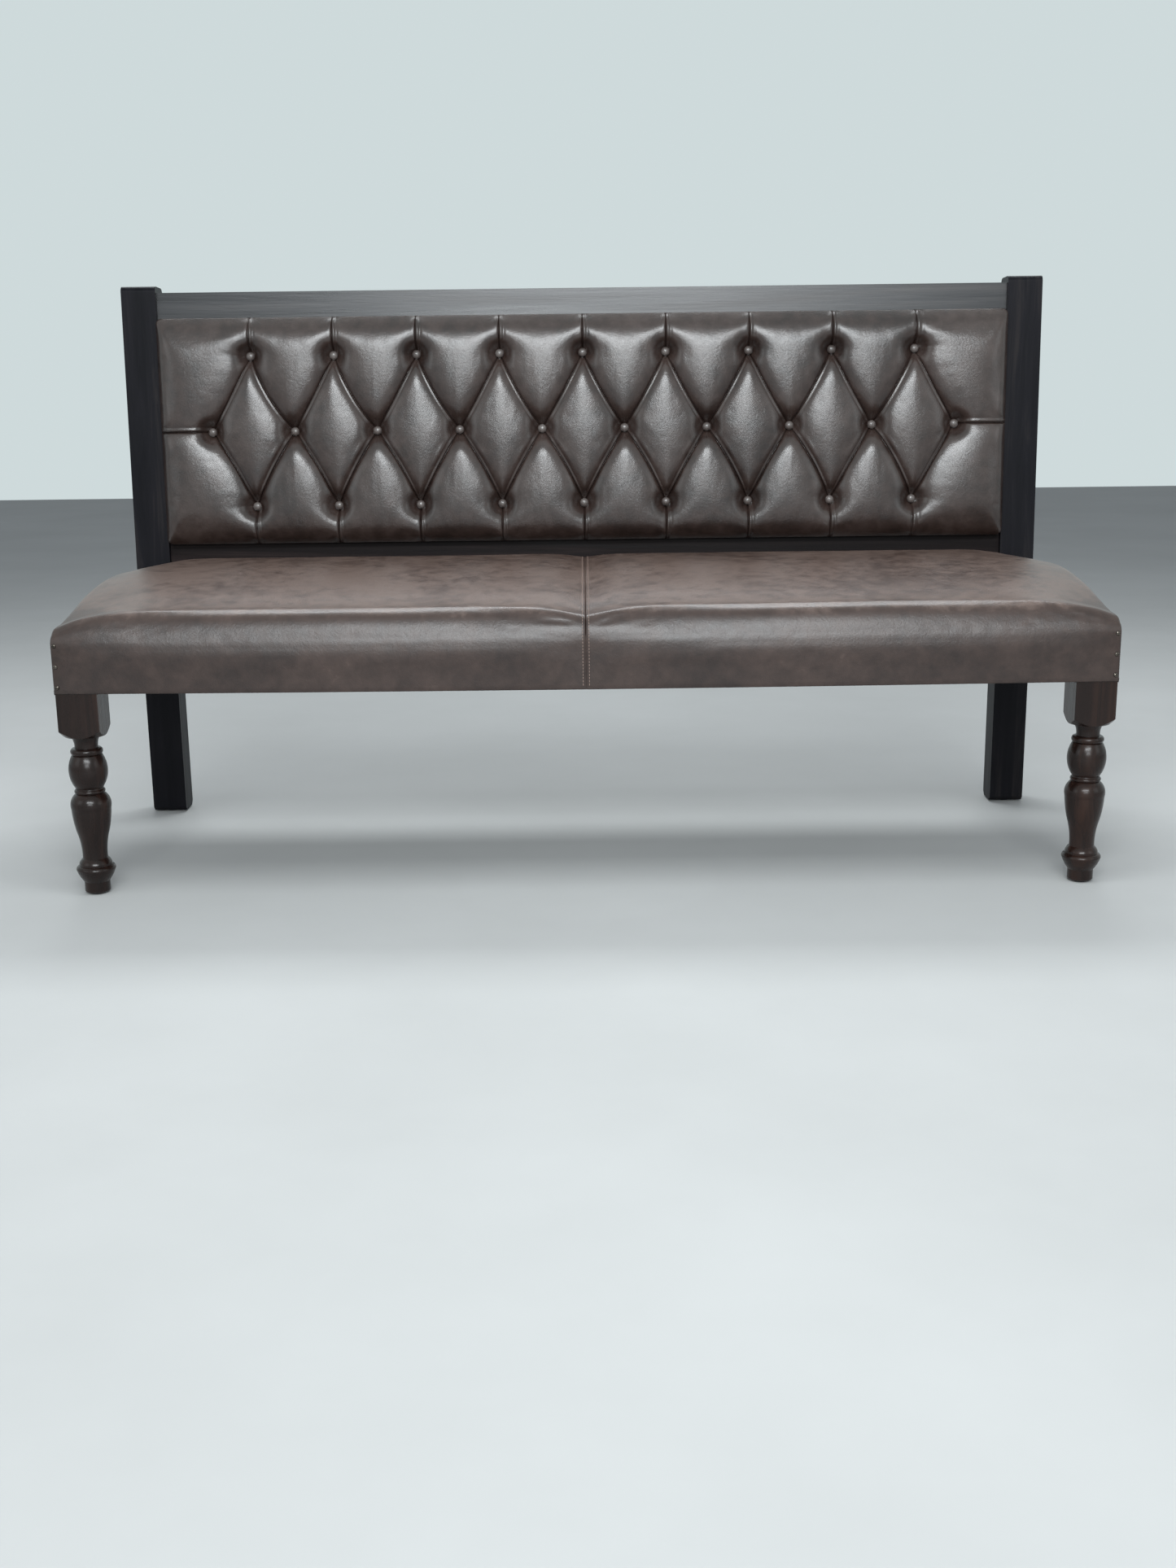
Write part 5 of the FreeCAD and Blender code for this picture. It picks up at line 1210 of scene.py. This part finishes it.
def dome(name, outline, sides, lean):
    """Turns (radius, height) pairs about the line that faces the sitter."""
    points, faces = [], ring_faces(len(outline) - 1, sides)
    for radius, height in outline[:-1]:
        for k in range(sides):
            a = math.tau * k / sides
            points.append((radius * math.cos(a), -height, radius * math.sin(a)))
    points.append((0, -outline[-1][1], 0))
    last = (len(outline) - 2) * sides
    faces += [(last + k, last + (k + 1) % sides, len(points) - 1) for k in range(sides)]
    faces.append(tuple(reversed(range(sides))))
    piece = new_piece(name, points, faces)
    piece.data.transform(Matrix.Rotation(-lean, 4, "X"))
    return piece


BUTTON_SEAT = -0.0112
BUTTON_OUTLINE = [(0.0070, 0.0), (0.0086, 0.0010), (0.0085, 0.0026), (0.0072, 0.0050),
                  (0.0048, 0.0066), (0.0022, 0.0073), (0, 0.0074)]
NAIL_OUTLINE = [(0.0030, 0.0), (0.0041, 0.0002), (0.0039, 0.0009), (0.0030, 0.0017),
                (0.0016, 0.0021), (0, 0.0022)]
BUTTON_SIDES, NAIL_SIDES = 14, 12
NAIL_X, NAIL_OUT, NAIL_HEIGHTS = 0.895, 0.0021, (0.3725, 0.408, 0.4435)
on_points = tree_on_points()
button_places = leaning([(x, BUTTON_SEAT, z) for x, z in upper + middle + lower])
one_button = dome("button", BUTTON_OUTLINE, BUTTON_SIDES, LEAN)
# the buttons wear the paler leather, a painted highlight
buttons = lay_out("back_pad_buttons", button_places, [], one_button, on_points, {"Finish": button_hide_painted_highlight})
nail_places = [(side * NAIL_X, FRONT - NAIL_OUT, z) for side in (-1, 1) for z in NAIL_HEIGHTS]
one_nail = dome("nail", NAIL_OUTLINE, NAIL_SIDES, 0.0)
nails = lay_out("corner_nail_heads", nail_places, [], one_nail, on_points, {"Finish": old_brass})
for piece, node, slot in ((buttons, "back_buttons", "back_leather"),
                          (nails, "corner_nails", "nail_metal")):
    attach(piece, "root")
    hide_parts(node)
print(len(button_places), "buttons and", len(nail_places), "nails")

# %% [markdown]
# ## Stitches
# The seam is held by a row of stitches on each side of it. One stitch is a short thread with tapered
# ends. The line it follows is read back from the finished hide, a few millimetres off the seam, so the
# stitches lie on the leather wherever the cloth simulation has moved it.

# %% the seam's stitches
STITCH_PITCH, STITCH_LENGTH, STITCH_THICK, STITCH_SIDES = 0.0055, 0.0040, 0.00055, 6
STITCH_TAPER = ((-0.5, 0.35), (-0.35, 1.0), (0.35, 1.0), (0.5, 0.35))
BEFORE_REAR = 6
stitch_points, stitch_edges = [], []
for line in stitch_lines:
    shown = line[flange_count + 1:top_to - BEFORE_REAR]
    start = len(stitch_points)
    stitch_points += shown.tolist()
    stitch_edges += [(k, k + 1) for k in range(start, len(stitch_points) - 1)]


def one_stitch():
    points = []
    for part, thick in STITCH_TAPER:
        radius = STITCH_THICK * thick
        for k in range(STITCH_SIDES):
            a = math.tau * k / STITCH_SIDES
            points.append((part * STITCH_LENGTH, radius * math.cos(a), radius * math.sin(a)))
    near_end = tuple(range(STITCH_SIDES - 1, -1, -1))
    far_end = tuple(range(len(points) - STITCH_SIDES, len(points)))
    faces = ring_faces(len(STITCH_TAPER), STITCH_SIDES) + [near_end, far_end]
    return new_piece("stitch", points, faces)


stitches = lay_out("seam_stitches", stitch_points, stitch_edges, one_stitch(), tree_along_line(),
                   {"Finish": seam_thread, "Pitch": STITCH_PITCH})
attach(stitches, "root")
print(len(stitches.data.polygons), "faces of stitching")

# %% [markdown]
# ## Webbing
# Woven straps run from front to back over the rails and carry the seat. They are flat bands that rise a
# little between their woven edges, so five points across are enough, and Solidify gives them their
# thickness.

# %% webbing straps
STRAP_COUNT, STRAP_SPACING, STRAP_WIDTH, STRAP_THICK = 14, 0.120, 0.050, 0.0019
STRAP_CELLS, ACROSS = 24, (-0.5, -0.42, 0.0, 0.42, 0.5)
SELVEDGE = 0.0003
strap_low, strap_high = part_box("seat_webbing")
strap_level = strap_high.z - STRAP_THICK / 2 - SELVEDGE
strap_points, strap_faces = [], []
for number in range(STRAP_COUNT):
    centre = STRAP_SPACING * (number - (STRAP_COUNT - 1) / 2)
    start = len(strap_points)
    for y in np.linspace(strap_low.y, strap_high.y, STRAP_CELLS + 1):
        for across in ACROSS:
            rise = SELVEDGE * (abs(across) < 0.5)
            strap_points.append((centre + across * STRAP_WIDTH, y, strap_level + rise))
    index = np.arange(start, len(strap_points)).reshape(STRAP_CELLS + 1, len(ACROSS))
    strap_faces += net_faces(index.T)
straps = new_piece("seat_straps", strap_points, strap_faces)
straps.data.materials.append(jute_strap)
strap_body = straps.modifiers.new("thickness", "SOLIDIFY")
strap_body.thickness, strap_body.offset = STRAP_THICK - 2 * SELVEDGE, 0
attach(straps, "root")
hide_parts("seat_webbing")
print(STRAP_COUNT, "straps")

# %% [markdown]
# ## Hessian and dust cloth
# Hessian lies flat on the straps and a black dust cloth is tacked under the seat box. Both are stretched
# tight, so a simulation would show nothing: each is a fine grid. The dust cloth dips by a few millimetres
# between the rails and is cut out round the front legs.

# %% a stretched cloth
CLOTH_CELL, CLOTH_THICK = 0.02, 0.0007
LINING_LEVEL, LINING_SAG, HESSIAN_LEVEL = 0.3604, 0.004, 0.4516
LEG_ROOM = 0.004


def stretched(name, low, high, level, sag, notch, finish):
    xs = np.linspace(low[0], high[0], max(3, round((high[0] - low[0]) / CLOTH_CELL)) + 1)
    ys = np.linspace(low[1], high[1], round((high[1] - low[1]) / CLOTH_CELL) + 1)
    u = (xs - low[0]) / (high[0] - low[0])
    v = (ys - low[1]) / (high[1] - low[1])
    dip = sag * np.outer(np.sin(np.pi * u) ** 0.5, np.sin(np.pi * v))
    points = [(x, y, level - dip[i, j]) for i, x in enumerate(xs) for j, y in enumerate(ys)]
    faces, area = [], 0.0
    for i in range(len(xs) - 1):
        for j in range(len(ys) - 1):
            if notch and max(abs(xs[i]), abs(xs[i + 1])) > notch[0] and ys[j] < notch[1]:
                continue
            k = i * len(ys) + j
            faces.append((k, k + len(ys), k + len(ys) + 1, k + 1))
            area += (xs[i + 1] - xs[i]) * (ys[j + 1] - ys[j])
    piece = new_piece(name, points, faces)
    piece.data.materials.append(finish)
    thin = piece.modifiers.new("thickness", "SOLIDIFY")
    thin.thickness, thin.offset = CLOTH_THICK, 0
    return piece, area


near_corner, far_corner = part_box("bottom_lining")
leg_low, leg_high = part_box("front_leg_right")
notch = (leg_low.x - LEG_ROOM, leg_high.y + LEG_ROOM)
lining, lining_area = stretched("dust_cloth", near_corner, far_corner, LINING_LEVEL, LINING_SAG, notch,
                                black_lining)
near_corner, far_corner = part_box("seat_hessian")
hessian, hessian_area = stretched("hessian_sheet", near_corner, far_corner, HESSIAN_LEVEL, 0.0, None,
                                  hessian_cloth)
for piece, node, slot, area, rests in (
        (lining, "bottom_lining", "dust_cloth", lining_area, "seat_front_rail"),
        (hessian, "seat_hessian", "hessian", hessian_area, "seat_straps")):
    near_corner, far_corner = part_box(node)
    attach(piece, "root")
    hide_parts(node)
    flat = (far_corner.x - near_corner.x, far_corner.y - near_corner.y)
print("dust cloth", round(lining_area, 3), "m2 and hessian", round(hessian_area, 3), "m2")

# %% [markdown]
# ## Finishes of the frame
# The wooden parts, screws, washers, twines and glides keep their CAD shapes and only need a finish.
# What shows is stained or polished. What the leather hides is raw beech with its grain along the part,
# and every part that isn't named here gets it with the grain sideways.

# %% finishes of the frame
FINISHES = {
    "front_leg_left": polished_leg, "front_leg_right": polished_leg,
    "rear_post_left": stained_upright, "rear_post_right": stained_upright,
    # the bottom rail takes the painted-shade copy of the stain
    "back_top_rail": stained_sideways, "back_bottom_rail": stained_in_painted_shade,
    "back_lining_panel": stained_sideways, "foot_glides": black_plastic,
    "back_stile_left": raw_upright, "back_stile_right": raw_upright,
    "seat_side_rail_left": raw_endways, "seat_side_rail_right": raw_endways,
    "seat_cross_rail_left": raw_endways, "seat_cross_rail_centre": raw_endways,
    "seat_cross_rail_right": raw_endways, "button_twines": waxed_twine,
    "coach_screws": zinc, "coach_washers": zinc, "corner_block_screws": zinc, "pad_screws": zinc,
    "twine_washers": zinc,
}
for name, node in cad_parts.items():
    node.data.materials.clear()
    node.data.materials.append(FINISHES.get(name, raw_sideways))
print("finishes on", len(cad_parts), "parts")
